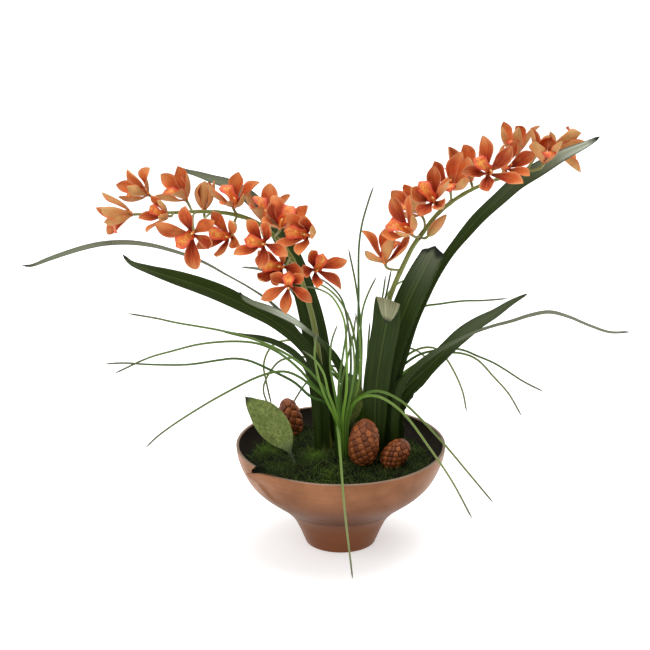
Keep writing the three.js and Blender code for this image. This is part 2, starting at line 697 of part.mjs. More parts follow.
function tubeAlong(curve, radii, steps, sides, from = 0) {
  const rings = [];
  for (let i = 0; i <= steps; i++) {
    const t = lerp(from, 1, i / steps);
    rings.push(ringAt(curve.getPointAt(t), curve.getTangentAt(t), sample(radii, i / steps), sides));
  }
  return rings;
}

// The stem's share of the way where a stalk leaves it, some way below the bloom.
function nearestShare(curve, point, behind) {
  let best = 0;
  const length = curve.getLength();
  for (let i = 0; i <= 200; i++)
    if (curve.getPointAt(i / 200).distanceTo(point) < curve.getPointAt(best).distanceTo(point)) best = i / 200;
  return clamp(best - behind / length, 0, 1);
}

function stalk(stem, end, heading) {
  const share = nearestShare(stem, end, 9);
  const start = stem.getPointAt(share);
  const reach = start.distanceTo(end);
  const first = start.clone().addScaledVector(stem.getTangentAt(share), reach * 0.25);
  const second = end.clone().addScaledVector(heading, -reach * 0.35);
  const curve = new THREE.CubicBezierCurve3(start, first, second, end);
  const rings = [0, 0.45, 1].map((t) => {
    const tangent = t === 1 ? heading : curve.getTangent(t);
    return ringAt(curve.getPoint(t), tangent, lerp(STALK_RADIUS, 1.5, t), 4, vec(0.3, 0.9, 0.2));
  });
  return toSolid(loft(rings));
}

function bloomStalk(stem, bloom) {
  const { origin, z } = bloomBasis(bloom);
  return stalk(stem, origin.clone().addScaledVector(z, -(HUB_HALF + CLEARANCE)), z);
}

function budAxis({ at, tip }) {
  const [from, to] = [seen(...at), seen(...tip)];
  return { from, to, along: to.clone().sub(from).normalize() };
}

function spikeGeometry({ root, route, blooms, bud }) {
  const points = [vec(...root, STAKE_TOP), ...route.map((p) => seen(...p))];
  const curve = new THREE.CatmullRomCurve3(points, false, "centripetal");
  const stake = [STAKE_BOTTOM, STAKE_TOP].map((z) => ringAt(vec(...root, z), vec(0, 0, 1), STEM_RADII[0], 7));
  const rings = [...stake, ...tubeAlong(curve, STEM_RADII, 15, 7).slice(1)];
  roundHole(root, STEM_RADII[0], 7);
  const solids = [toSolid(loft(rings)), ...blooms.map((bloom) => bloomStalk(curve, bloom))];
  if (bud) {
    const { from, along } = budAxis(bud);
    solids.push(stalk(curve, from.clone().addScaledVector(along, -CLEARANCE), along));
  }
  return toGeometry(union(solids));
}

// A closed bud: a pointed spindle with five shallow ridges where its tepals meet.
function budGeometry(bud) {
  const { from, to, along } = budAxis(bud);
  const length = from.distanceTo(to);
  const shares = [[0, 0.28], [0.18, 0.72], [0.42, 1], [0.7, 0.78], [0.9, 0.36], [1, 0.08]];
  const rings = shares.map(([t, share]) =>
    ringAt(from.clone().addScaledVector(along, t * length), along, 5 * share, 10).map((p, k) => {
      const axis = from.clone().addScaledVector(along, t * length);
      return axis.lerp(p, k % 2 ? 0.86 : 1);
    }),
  );
  return loft(rings);
}

// Grass: three-sided blades from a common plug. A blade is its route in the front view.
const GRASS = [
  {
    name: "grass_front",
    root: [2, -14],
    blades: [
      [[-1, 110, -24], [-3, 113.5, -34], [-1, 95, -90], [1.5, 60, -112], [4, 30, -117], [8, -6, -119], [12, -40, -120]],
      [[6, 120, -20], [15, 137, -24], [30, 143, -38], [45, 139, -50], [64, 124, -58], [88, 92, -66], [111, 58, -72], [131.5, 20, -78]],
      [[9, 124, -20], [22, 143, -24], [38, 147.5, -30], [60, 138, -36], [82, 118, -40], [105, 93, -44], [130, 63, -48], [152.5, 36, -52]],
      [[-8, 130, -24], [-30, 153, -32], [-42, 162, -38], [-56, 167, -44], [-76, 164, -50], [-115, 145.5, -56], [-160, 118.5, -62], [-183, 102, -66], [-194.5, 91, -68]],
      [[-10, 132, -22], [-30, 142, -30], [-46, 156, -36], [-69, 168, -42], [-92, 178, -48], [-107, 180, -52], [-121, 178.5, -56], [-152, 174, -60], [-190, 174, -64], [-217, 175.5, -68], [-236, 174.5, -70]],
      [[-8, 134, -20], [-26, 152, -26], [-42, 170, -32], [-62, 186, -38], [-81, 194.5, -42], [-99, 197, -46], [-122, 196.5, -50], [-145, 193.5, -54], [-168, 187.5, -58], [-191, 181, -62], [-226, 165, -66]],
      [[-6, 130, -22], [-20, 155, -30], [-40, 175, -36], [-64, 190, -42], [-92, 201, -47], [-122, 208.5, -50], [-165, 216, -54], [-183, 220, -56], [-212.5, 225, -58]],
      [[4, 120, -18], [13, 160, -20], [17, 198, -20], [18, 240, -20], [18.5, 292, -20], [21.5, 314, -20], [27, 334, -20], [33, 352, -20]],
      [[3, 118, -20], [9, 150, -26], [10, 190, -30], [6, 222, -32], [1, 240, -34], [-9, 252, -36], [-20, 260, -38]],
      [[2, 118, -22], [6, 150, -30], [6, 185, -34], [4, 216, -37], [-2, 232, -41], [-11, 244, -45], [-24, 250, -48], [-36, 252, -50]],
      [[6, 120, -17], [14, 150, -18], [19, 190, -16], [22, 228, -12], [28, 246, -10], [36, 262, -8]],
      [[0, 118, -22], [-2, 150, -30], [2, 180, -36], [6, 206, -40], [8, 226, -43]],
      [[2, 119, -20], [0, 146, -26], [6, 176, -30], [13, 204, -32], [15, 222, -33]],
      [[-3, 118, -23], [-12, 145, -32], [-17, 165, -38], [-27, 180, -44], [-38, 188, -48]],
      [[-4, 116, -22], [-14, 138, -30], [-22, 160, -38], [-26, 184, -42], [-24, 206, -46]],
      [[8, 118, -18], [16, 145, -20], [20, 170, -22], [19, 200, -24], [15, 226, -26]],
      [[-1, 118, -23], [-6, 148, -30], [-10, 172, -36], [-9, 196, -40], [-3, 214, -43]],
      [[5, 118, -21], [10, 142, -27], [14, 168, -31], [12, 196, -34], [7, 212, -37]],
    ],
  },
  {
    name: "grass_back",
    root: [22, 36],
    blades: [
      [[34, 150, 38], [55, 172, 42], [70, 185.5, 44], [83.5, 191, 46], [95, 190, 48], [104.5, 181.5, 50], [114, 166, 52], [122, 147, 54], [126, 127, 56]],
      [[34, 148, 40], [52, 162.5, 45], [66, 176, 48], [80, 184.5, 50], [95, 188, 52], [112, 190, 54], [124, 188, 56], [137, 182.5, 58], [152.5, 176, 60], [166, 168, 62], [183, 157, 64], [203, 147, 66]],
      [[36, 146, 42], [56, 160, 48], [72, 172, 52], [92, 183, 56], [110, 186, 60], [126, 184, 62], [138, 178, 64], [152.5, 162.5, 66], [168, 145, 68], [181, 122.5, 70]],
      [[32, 150, 42], [46, 180, 50], [62, 210, 54], [81, 231, 56], [99, 234.5, 58], [122, 237.5, 60], [143, 238, 62], [167, 240, 64]],
      [[28, 150, 38], [34, 190, 38], [39, 225, 38], [43, 248, 38], [45, 263, 38]],
      [[30, 150, 40], [38, 190, 42], [42, 225, 43], [47, 250, 44], [51, 269.5, 45]],
      [[25, 150, 36], [27, 180, 35], [28, 200, 34], [29.5, 217, 33]],
      [[34, 146, 38], [50, 166, 44], [58, 184, 46], [65, 200, 47]],
      [[12, 140, 46], [-8, 165, 58], [-28, 180, 68], [-47, 181, 76], [-60, 178, 82], [-68, 170, 86], [-75, 158, 88], [-77, 148, 89], [-73, 136, 90], [-67, 128, 90]],
      [[10, 144, 48], [-10, 172, 62], [-26, 190, 72], [-46, 198, 80], [-60, 197, 87], [-69, 192, 92], [-75, 182, 96], [-77, 171, 98], [-75, 160, 99], [-72, 146, 100], [-69, 134, 101]],
      [[20, 150, 48], [16, 190, 60], [8, 222, 72], [-6, 244, 86], [-26, 256, 102], [-50, 252, 118]],
      [[30, 146, 50], [44, 176, 66], [58, 190, 84], [76, 188, 104], [96, 170, 124]],
      [[24, 150, 50], [30, 196, 62], [40, 232, 76], [56, 254, 94], [78, 262, 112]],
      [[14, 144, 52], [2, 168, 70], [-14, 172, 92], [-34, 156, 114], [-52, 128, 128]],
      [[26, 146, 56], [34, 166, 78], [40, 164, 102], [44, 144, 122], [48, 116, 134]],
      [[20, 150, 44], [21, 200, 50], [16, 250, 56], [8, 290, 62]],
    ],
  },
];
const PLUG_RADIUS = 8;

function grassBlade(root, route) {
  const first = seen(...route[0]);
  const lean = vec(first.x - root[0], first.y - root[1], 0).clampLength(0, PLUG_RADIUS * 0.62);
  const foot = vec(root[0] + lean.x, root[1] + lean.y, STAKE_TOP - 6);
  const curve = new THREE.CatmullRomCurve3([foot, ...route.map((p) => seen(...p))], false, "centripetal");
  const steps = Math.max(5, Math.round(curve.getLength() / 38));
  const rings = [];
  for (let i = 0; i <= steps; i++) {
    const t = i / steps;
    const tangent = curve.getTangentAt(t);
    const { normal, side } = ribbonFrame(tangent, vec(0, -0.8, 0.6));
    const half = lerp(1.25, 0.5, t ** 1.5);
    const centre = curve.getPointAt(t);
    const point = (a, b) => centre.clone().addScaledVector(side, a).addScaledVector(normal, b);
    rings.push([point(half, 0.3), point(0, -0.55), point(-half, 0.3)]);
  }
  return loft(rings);
}

function grassGeometry({ root, blades }) {
  const plug = new THREE.CylinderGeometry(PLUG_RADIUS, PLUG_RADIUS, STAKE_TOP - STAKE_BOTTOM, 10);
  plug.rotateX(Math.PI / 2).translate(...root, (STAKE_TOP + STAKE_BOTTOM) / 2);
  roundHole(root, PLUG_RADIUS, 10);
  const tuft = union([toSolid(plug), ...blades.map((route) => toSolid(grassBlade(root, route)))]);
  return toGeometry(withoutHollows(tuft));
}

// Cones: closed ovals whose scales are raised by a formula, each on a wire pick in the foam.
const CONES = [
  { name: "cone_1", foot: [-45, 103, 56], tip: [-55, 140, 57], radius: 11.5, pick: [-44, 55] },
  { name: "cone_2", foot: [21, 74, -23], tip: [26, 119, -26], radius: 15.5, pick: [21, -23] },
  { name: "cone_3", foot: [45, 73, -20], tip: [66, 97, -26], radius: 12.5, pick: [44, -19] },
  { name: "cone_4", foot: [43, 104, 60], tip: [46, 132, 61], radius: 8.5, pick: [43, 60] },
];
const CONE_COLUMNS = 14;
const CONE_ROWS = 9;

function coneGeometry({ foot, tip, radius, pick }) {
  const [from, to] = [seen(...foot), seen(...tip)];
  const along = to.clone().sub(from).normalize();
  const length = from.distanceTo(to);
  const rings = [];
  for (let i = 0; i <= CONE_ROWS; i++) {
    const t = lerp(0.015, 0.985, i / CONE_ROWS);
    const share = Math.sin(Math.PI * t ** 0.82) ** 0.62;
    const centre = from.clone().addScaledVector(along, t * length);
    rings.push(
      ringAt(centre, along, radius * share, CONE_COLUMNS).map((p, k) => {
        // Every other point of every row stands out, turned a place from row to row.
        const scale = (k + i) % 2 ? 1.03 : 0.9;
        return centre.clone().lerp(p, scale);
      }),
    );
  }
  const wire = new THREE.CylinderGeometry(1, 1, from.z + 6 - STAKE_BOTTOM, 6);
  wire.rotateX(Math.PI / 2).translate(...pick, (from.z + 6 + STAKE_BOTTOM) / 2);
  roundHole(pick, 1, 6);
  const dimple = new THREE.SphereGeometry(1, 12, 8);
  const turn = new THREE.Quaternion().setFromUnitVectors(vec(0, 1, 0), along);
  dimple.scale(radius * 1.09, length / 2 + 1, radius * 1.09).applyQuaternion(turn);
  dimple.translate(...from.clone().lerp(to, 0.49).toArray());
  holes.push(toSolid(dimple));
  return toGeometry(union([toSolid(loft(rings)), toSolid(wire)]));
}

// Materials
const finish = (color, roughness, metalness = 0) => new THREE.MeshStandardMaterial({ color, roughness, metalness });
const copper = finish(0xb5714f, 0.38, 0.85);
const foamBrown = finish(0x3b2f22, 0.95);
const mossGreen = finish(0x2f4a17, 1);
const leafGreen = finish(0x33481f, 0.5);
const broadGreen = finish(0x7d9350, 0.6);
const grassGreen = finish(0x5f8f35, 0.5);
const stemGreen = finish(0x7c7a35, 0.6);
const petalOrange = finish(0xe0582b, 0.7);
const budOrange = finish(0xd08a4a, 0.7);
const coneBrown = finish(0x8f4a26, 0.55);

// Assembly
const orchid = new THREE.Group();

function place(name, geometry, material) {
  const mesh = new THREE.Mesh(geometry, material);
  mesh.name = name;
  orchid.add(mesh);
  return mesh;
}

place("pot", potGeometry(), copper);
LEAVES.forEach((leaf) => place(leaf.name, strapLeaf(leaf), leafGreen));
BROAD_LEAVES.forEach((leaf) => place(leaf.name, strapLeaf(leaf), broadGreen));
CONES.forEach((cone) => place(cone.name, coneGeometry(cone), coneBrown));
GRASS.forEach((tuft) => place(tuft.name, grassGeometry(tuft), grassGreen));
SPIKES.forEach((spike) => {
  place(spike.name, spikeGeometry(spike), stemGreen);
  const sideName = spike.name.split("_").pop();
  spike.blooms.forEach((bloom, i) => {
    const { origin, x, y, z } = bloomBasis(bloom);
    const number = String(i + 1).padStart(2, "0");
    const mesh = place(`bloom_${sideName}_${number}`, bloomGeometry(bloom), petalOrange);
    mesh.position.copy(origin);
    mesh.quaternion.setFromRotationMatrix(new THREE.Matrix4().makeBasis(x, y, z));
  });
  if (spike.bud) place(`bud_${sideName}`, budGeometry(spike.bud), budOrange);
});

// The largest body that is left after the holes are cut; crumbs between holes are dropped.
function cutHoles(solid) {
  const bodies = solid.subtract(union(holes)).decompose();
  return bodies.reduce((big, body) => (body.volume() > big.volume() ? body : big));
}
place("potting_foam", toGeometry(cutHoles(toSolid(foamGeometry()))), foamBrown);
place("moss", toGeometry(cutHoles(toSolid(mossGeometry()))), mossGreen);

export default orchid;
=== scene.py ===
# %% [markdown]
# # A potted cymbidium orchid from numpy surfaces
#
# The real thing is an artificial arrangement: silk blooms on two arching stems, cloth strap
# leaves, plastic grass, moss and little cones, all pushed into foam in a copper bowl. Everything
# here is a surface that numpy works out as whole arrays, so one formula serves many pieces.
# All sizes are in millimetres until a mesh is written, because the object is small.

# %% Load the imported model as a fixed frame
from collections import namedtuple
from math import cos, pi, radians, sin

import bmesh
import bpy
import numpy as np
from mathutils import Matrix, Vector


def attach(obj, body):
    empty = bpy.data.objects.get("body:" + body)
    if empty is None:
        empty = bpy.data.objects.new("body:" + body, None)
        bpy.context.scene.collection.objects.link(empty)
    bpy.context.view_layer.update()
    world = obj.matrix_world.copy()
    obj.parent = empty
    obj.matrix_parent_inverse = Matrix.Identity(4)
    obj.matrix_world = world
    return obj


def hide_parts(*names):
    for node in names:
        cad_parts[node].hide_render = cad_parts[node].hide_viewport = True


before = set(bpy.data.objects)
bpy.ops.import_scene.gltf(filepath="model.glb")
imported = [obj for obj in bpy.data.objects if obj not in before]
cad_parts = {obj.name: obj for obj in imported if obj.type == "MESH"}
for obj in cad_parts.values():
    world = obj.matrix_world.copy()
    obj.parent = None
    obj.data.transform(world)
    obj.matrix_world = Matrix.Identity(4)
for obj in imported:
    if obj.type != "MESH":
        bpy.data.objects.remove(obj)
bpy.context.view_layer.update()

MM = 0.001

# %% [markdown]
# ## The camera
#
# The photograph looks down on the bowl by about 20 degrees, from far enough away that the rim is
# nearly a plain ellipse. A long lens at three metres gives that. The picture plane stands upright
# to the view through the bowl's axis, and the routes of stems and leaves are given on it: so much
# across, so much up, and how far behind the axis. `seen` turns them into places in the room.

# %% The camera and the points it sees
VIEW_TILT = radians(20.3)
EYE_DISTANCE = 3000
PICTURE_CENTRE = (-15.5, 213.5)
LENS = 166.15
VIEW_RIGHT = np.array([1, 0, 0])
VIEW_UP = np.array([0, sin(VIEW_TILT), cos(VIEW_TILT)])
VIEW_TOWARD = np.array([0, -cos(VIEW_TILT), sin(VIEW_TILT)])


def on_picture(across, up):
    """A point of the picture plane: across·right + up·up direction."""
    return np.multiply.outer(across, VIEW_RIGHT) + np.multiply.outer(up, VIEW_UP)


EYE = on_picture(*PICTURE_CENTRE) + EYE_DISTANCE * VIEW_TOWARD


def seen(route):
    """Places in the room of rows (across, up, back): the sight line from the eye through the
    picture point is followed until it lies `back` behind the bowl's axis."""
    rows = np.atleast_2d(np.asarray(route, float))
    target = on_picture(rows[:, 0], rows[:, 1])
    share = (rows[:, 2] - EYE[1]) / (target[:, 1] - EYE[1])
    return EYE + share[:, None] * (target - EYE)


def view_direction(right, up, toward):
    """A unit direction from its parts to the right, up and toward the viewer."""
    return unit(right * VIEW_RIGHT + up * VIEW_UP + toward * VIEW_TOWARD)


def unit(vectors):
    """Vectors divided by their own length."""
    return vectors / np.linalg.norm(vectors, axis=-1, keepdims=True)


camera = bpy.data.objects.new("camera", bpy.data.cameras.new("camera"))
camera.data.lens = LENS
camera.data.sensor_width = 36
camera.data.clip_end = 50
camera.location = Vector(EYE * MM)
camera.rotation_euler = (pi / 2 - VIEW_TILT, 0, 0)
bpy.context.collection.objects.link(camera)
bpy.context.scene.camera = camera
print("camera at", [round(v, 3) for v in camera.location])

# %% [markdown]
# ## Smooth paths
#
# A stem or a leaf follows a given row of points. The Catmull-Rom curve passes through all
# of them, and with knots spaced by the square root of the distance it doesn't loop or overshoot.
# Widths and radii are evenly spaced samples, joined by the same kind of cubic.

# %% Curves through points
Path = namedtuple("Path", "centre tangent length")
TANGENT_REACH = 0.4


def catmull_rom(points, per_span=24):
    """A dense curve through points. Each span is a cubic whose slope at a point is the mean of
    the chords on both sides, weighed by knots that are the square roots of the chords."""
    p = np.vstack([2 * points[0] - points[1], points, 2 * points[-1] - points[-2]])
    knots = np.sqrt(np.linalg.norm(np.diff(p, axis=0), axis=1))
    a, b, c = knots[:-2, None], knots[1:-1, None], knots[2:, None]
    before, start, end, after = p[:-3], p[1:-2], p[2:-1], p[3:]
    leave = ((start - before) / a - (end - before) / (a + b) + (end - start) / b) * b
    arrive = ((end - start) / b - (after - start) / (b + c) + (after - end) / c) * b
    t = np.linspace(0, 1, per_span, endpoint=False)[:, None, None]
    square = -3 * start + 3 * end - 2 * leave - arrive
    cube = 2 * start - 2 * end + leave + arrive
    spans = start + leave * t + square * t**2 + cube * t**3
    return np.vstack([spans.swapaxes(0, 1).reshape(-1, points.shape[1]), points[-1]])


def at_lengths(lengths, run, rows):
    """Rows read off at given lengths along a curve, straight between its points."""
    return np.stack([np.interp(lengths, run, rows[:, k]) for k in range(rows.shape[1])], -1)


def follow(points, shares):
    """Centres and directions at shares of the whole length of the curve through points."""
    curve = catmull_rom(np.asarray(points, float))
    run = np.concatenate([[0], np.cumsum(np.linalg.norm(np.diff(curve, axis=0), axis=1))])
    lengths = np.asarray(shares) * run[-1]
    ahead = at_lengths(np.minimum(lengths + TANGENT_REACH, run[-1]), run, curve)
    behind = at_lengths(np.maximum(lengths - TANGENT_REACH, 0), run, curve)
    return Path(at_lengths(lengths, run, curve), unit(ahead - behind), run[-1])


def stations(points, spacing):
    """The path through points, read about every `spacing` millimetres, and the shares there."""
    shares = np.linspace(0, 1, int(follow(points, [0, 1]).length / spacing))
    return follow(points, shares), shares


def bunched(first, last, count):
    """Shares that lie closer together near 0 and 1: 0.5 − 0.5·cos(π·t), t from first to last."""
    return 0.5 - 0.5 * np.cos(pi * np.linspace(first, last, count))


def tip_taper(shares, length, reach, least, past=1.0001):
    """The square root of the rest of the path over its last `reach` millimetres, which rounds an
    end off, and 1 before that."""
    return np.sqrt(np.clip((past - shares) * length / reach, least, 1))


def smooth(values, shares):
    """Evenly spaced samples, read at shares from 0 to 1 on the cubic that joins them."""
    v = np.asarray(values, float)
    v = np.concatenate([[2 * v[0] - v[1]], v, [2 * v[-1] - v[-2]]])
    x = np.clip(shares, 0, 1) * (len(v) - 3)
    i = np.minimum(x.astype(int), len(v) - 4)
    t = x - i
    a, b, c, d = v[i], v[i + 1], v[i + 2], v[i + 3]
    return b + 0.5 * t * (c - a + t * (2 * a - 5 * b + 4 * c - d + t * (3 * (b - c) + d - a)))


def ease(values):
    """0 below 0, 1 above 1, and an S-curve 3x² − 2x³ between."""
    x = np.clip(values, 0, 1)
    return x * x * (3 - 2 * x)


# %% [markdown]
# ## Skins
#
# Nearly every piece is a skin over rings. A stem has round rings. A leaf or a petal has flat
# ones, which run over its upper side from edge to edge and back underneath, so the blade is a
# closed solid with a real thickness. The piece's UV map holds the place across and along it, and
# a point attribute says how far round to the underside a point lies. Patterns are painted on those.

# %% Rings, blades and tubes
Skin = namedtuple("Skin", "points faces uv marks look")


def ring_skin(rings, across, along, look=0, **marks):
    """A closed skin over rings (count, points, xyz): each ring is joined to the next by quads,
    and one face closes each end. across and along are the two columns of its UV map."""
    count, size = rings.shape[:2]
    i, k = np.meshgrid(np.arange(count - 1) * size, np.arange(size), indexing="ij")
    after = (k + 1) % size
    quads = np.stack([i + k, i + after, i + size + after, i + size + k], -1).reshape(-1, 4)
    ends = np.stack([np.arange(size)[::-1], np.arange(size) + (count - 1) * size])
    shape = (count, size)
    uv = np.stack([np.broadcast_to(across, shape), np.broadcast_to(along, shape)], -1)
    spread = {name: np.broadcast_to(value, shape).ravel() for name, value in marks.items()}
    return Skin(rings.reshape(-1, 3), [quads, ends], uv.reshape(-1, 2), spread, look)


def blade(centre, side, normal, half, rise, thick, along, look=0, pull=None, **marks):
    """A thin closed blade. A point at c from −1 to 1 across lies at centre + side·half·c +
    normal·(rise ± thick/2), plus on the upper side and minus underneath."""
    c = np.linspace(-1, 1, rise.shape[1])
    flat = centre[:, None] + side[:, None] * (half[:, None] * c)[..., None]
    if pull is not None:
        flat = flat + pull
    upper = flat + normal[:, None] * (rise + thick / 2)[..., None]
    lower = flat + normal[:, None] * (rise - thick / 2)[..., None]
    rings = np.concatenate([upper, lower[:, ::-1]], axis=1)
    across = np.concatenate([c, c[::-1]]) * 0.5 + 0.5
    under = np.repeat([0.0, 1.0], len(c))
    return ring_skin(rings, across, np.asarray(along)[:, None], look, under=under, **marks)


def ribbon_frame(tangent, face):
    """Side and normal of a ribbon: the normal is the face direction made square to the path,
    and the side is path × normal."""
    normal = unit(face - np.sum(face * tangent, -1, keepdims=True) * tangent)
    return np.cross(tangent, normal), normal


def tube(centre, tangent, radius, sides, along, look=0, face=(0, 1, 0), **marks):
    """Round rings along a path: centre + radius·(−side·cos a + normal·sin a)."""
    side, normal = ribbon_frame(tangent, np.broadcast_to(face, tangent.shape).astype(float))
    angle = 2 * pi * np.arange(sides) / sides
    spokes = -side[:, None] * np.cos(angle)[:, None] + normal[:, None] * np.sin(angle)[:, None]
    radius = np.broadcast_to(np.asarray(radius, float).reshape(len(centre), -1), (len(centre), sides))
    rings = centre[:, None] + radius[..., None] * spokes
    return ring_skin(rings, np.arange(sides) / sides, np.asarray(along)[:, None], look, **marks)


def upright_tube(place, heights, radius, sides, **marks):
    """A tube that stands straight up at a place (x, y)."""
    z = np.asarray(heights, float)
    centre = np.stack([np.full_like(z, place[0]), np.full_like(z, place[1]), z], -1)
    return tube(centre, np.tile([0, 0, 1.0], (len(z), 1)), radius, sides, z * 0, **marks)


# %% [markdown]
# ## From skins to a piece
#
# One helper writes the mesh, its UV map, its attributes and its material slots, and hides the
# CAD node it stands for. Edges sharper than 55 degrees stay sharp, so that a blade's
# rim doesn't smear its shading over the thin edge.

# %% Write a piece
SHARP = radians(55)
triangle_counts = []


def make_piece(name, skins, materials, node):
    """A mesh object from skins, riding on the root body and standing for one CAD node."""
    mesh = bpy.data.meshes.new(name)
    points = np.vstack([skin.points for skin in skins])
    first = np.cumsum([0] + [len(skin.points) for skin in skins])
    faces = []
    looks = []
    for skin, start in zip(skins, first):
        for block in skin.faces:
            faces += (block + start).tolist()
            looks += [skin.look] * len(block)
    mesh.from_pydata((points * MM).tolist(), [], faces)
    mesh.polygons.foreach_set("material_index", looks)
    corner = np.empty(len(mesh.loops), int)
    mesh.loops.foreach_get("vertex_index", corner)
    uv = np.vstack([skin.uv for skin in skins])
    mesh.uv_layers.new(name="UVMap").data.foreach_set("uv", uv[corner].ravel())
    for mark in sorted({key for skin in skins for key in skin.marks}):
        values = [skin.marks.get(mark, np.zeros(len(skin.points))) for skin in skins]
        attribute = mesh.attributes.new(mark, "FLOAT", "POINT")
        attribute.data.foreach_set("value", np.concatenate(values))
    for material in materials:
        mesh.materials.append(material)
    mesh.shade_smooth()
    mesh.set_sharp_from_angle(angle=SHARP)
    mesh.update()
    piece = bpy.data.objects.new(name, mesh)
    bpy.context.collection.objects.link(piece)
    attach(piece, "root")
    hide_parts(node)
    triangle_counts.append(len(corner) - 2 * len(faces))
    return piece


# %% [markdown]
# ## Building materials
#
# A material here is a small tree of texture nodes in front of one shader. The class below keeps
# each tree short to read: a node is made with its inputs in one call, and an input is a number or
# another node's output. Colours are given as a screen shows them, from 0 to 255, and turned to
# linear light. Most materials start from one colour and lay others over it.

# %% Paint
def colour(red, green, blue):
    """Linear light of a screen colour: ((s + 0.055) / 1.055) to the power 2.4."""
    s = np.array([red, green, blue]) / 255
    return (*(np.where(s < 0.04045, s / 12.92, ((s + 0.055) / 1.055) ** 2.4)), 1)


class Paint:
    """The node tree of a material or a world, with short ways to add to it."""

    def __init__(self, owner, shader="Principled BSDF", **constants):
        owner.use_nodes = True
        self.tree = owner.node_tree
        self.shader = self.tree.nodes[shader]
        self.owner = owner
        for key, value in constants.items():
            self.shader.inputs[key.replace("_", " ")].default_value = value

    def node(self, kind, output=0, settings=None, **inputs):
        """Adds a node and returns one of its outputs. An input is given by its name, or as i6 for
        the one with number 6."""
        added = self.tree.nodes.new("ShaderNode" + kind)
        for key, value in (settings or {}).items():
            setattr(added, key, value)
        for key, value in inputs.items():
            socket = added.inputs[int(key[1:]) if key[1:].isdigit() else key.replace("_", " ")]
            if isinstance(value, bpy.types.NodeSocket):
                self.tree.links.new(value, socket)
            else:
                socket.default_value = value
        return added.outputs[output]

    def mixed(self, share, first, second):
        """The colour between first and second. Each is an output or a screen colour."""
        first, second = (colour(*c) if isinstance(c, tuple) else c for c in (first, second))
        return self.node("Mix", 2, {"data_type": "RGBA"}, i0=share, i6=first, i7=second)

    def ramp(self, value, *stops):
        """A colour ramp over value, from pairs of place and screen colour."""
        output = self.node("ValToRGB", Fac=value)
        elements = output.node.color_ramp.elements
        while len(elements) < len(stops):
            elements.new(0.5)
        for element, (position, shade) in zip(elements, stops):
            element.position = position
            element.color = colour(*shade)
        return output

    def between(self, value, low, high, to_low=0.0, to_high=1.0):
        """value from low..high moved to to_low..to_high, and held at the ends."""
        return self.node("MapRange", i0=value, i1=low, i2=high, i3=to_low, i4=to_high)

    def over(self, base, shade, value, low, high, most=1.0):
        """shade laid over base: not at all where value is low, and by `most` where it is high."""
        return self.mixed(self.between(value, low, high, 0.0, most), base, shade)

    def maths(self, operation, first, second=0.5):
        """One sum, product or other step on two values."""
        return self.node("Math", 0, {"operation": operation}, i0=first, i1=second)

    def noise(self, vector, scale, detail=3.0, roughness=0.5):
        """Cloudy noise from 0 to 1."""
        return self.node("TexNoise", Vector=vector, Scale=scale, Detail=detail, Roughness=roughness)

    def mark(self, name):
        """A point attribute as a value."""
        return self.node("Attribute", 2, {"attribute_name": name})

    def place(self, stretch=(1, 1, 1), space="Object"):
        """The Object or UV coordinate, stretched along its axes."""
        return self.node("Mapping", Vector=self.node("TexCoord", space), Scale=stretch)

    def axis(self, name, vector):
        """One of the three numbers of a vector."""
        return self.node("SeparateXYZ", name, Vector=vector)

    def along(self):
        """How far along a blade or a tube a point lies, from 0 to 1."""
        return self.axis("Y", self.node("TexCoord", "UV"))

    def off_middle(self):
        """How far from the middle of a blade a point lies: 0 at the midrib, 0.5 at an edge."""
        across = self.axis("X", self.node("TexCoord", "UV"))
        return self.maths("ABSOLUTE", self.maths("SUBTRACT", across, 0.5))

    def finish(self, base_colour, height, relief, strength=1.0):
        """Joins the colour to the shader, and relief from a height between 0 and 1, which is
        `relief` metres high. Returns the material."""
        self.link(base_colour, "Base Color")
        self.link(self.node("Bump", Height=height, Distance=relief, Strength=strength), "Normal")
        return self.owner

    def link(self, output, name):
        """Joins an output to one of the shader's inputs."""
        self.tree.links.new(output, self.shader.inputs[name])


def new_paint(name, **constants):
    """Paint for a new material, with constants set on the shader's own sockets."""
    return Paint(bpy.data.materials.new(name), **constants)


# %% [markdown]
# ## The copper bowl
#
# The bowl is spun metal on a flared foot, brushed on the outside and near black inside. Its rim is
# cut once at the front left and lapped: the wall to the left keeps its height and ends in a small
# point, while the front wall starts lower and a little outside it. One grid makes the whole bowl:
# its rows go up the outside, over the rounded rim and down the inside, its columns go round from
# the cut. The first and last columns are the same below the cut and apart above it.

# %% The bowl's profile
RIM_HEIGHT = 103
RIM_RADIUS = 103.5
WALL = 2.8
SLIT_ANGLE = 211
SLIT_BOTTOM = 86
SLIT_MIDDLE = 95.5
LAP = 4
LAP_FADE = 16
DIP_FADE = 9
OUTER_PROFILE = [
    [34.5, 0], [38.2, 9], [41.6, 17], [48.5, 29.5], [60, 41.3], [71.3, 50.2], [82.5, 59.2], [91, 68.5],
    [96.2, 77.5], [99.8, SLIT_BOTTOM], [102.7, SLIT_MIDDLE], [RIM_RADIUS, RIM_HEIGHT],
]
INNER_PROFILE = [
    [34, 5], [39, 17], [49, 34], [66, 49.2], [87, 68], [99.8 - WALL, SLIT_BOTTOM],
    [102.7 - WALL, SLIT_MIDDLE], [RIM_RADIUS - WALL, RIM_HEIGHT],
]
POT_FLOOR = 4
POT_COLUMNS = 240


def profile_radius(profile, heights):
    """Radius at each height, on the smooth curve through the profile's points."""
    curve = catmull_rom(np.array(profile, float))
    return np.interp(heights, curve[:, 1], curve[:, 0])


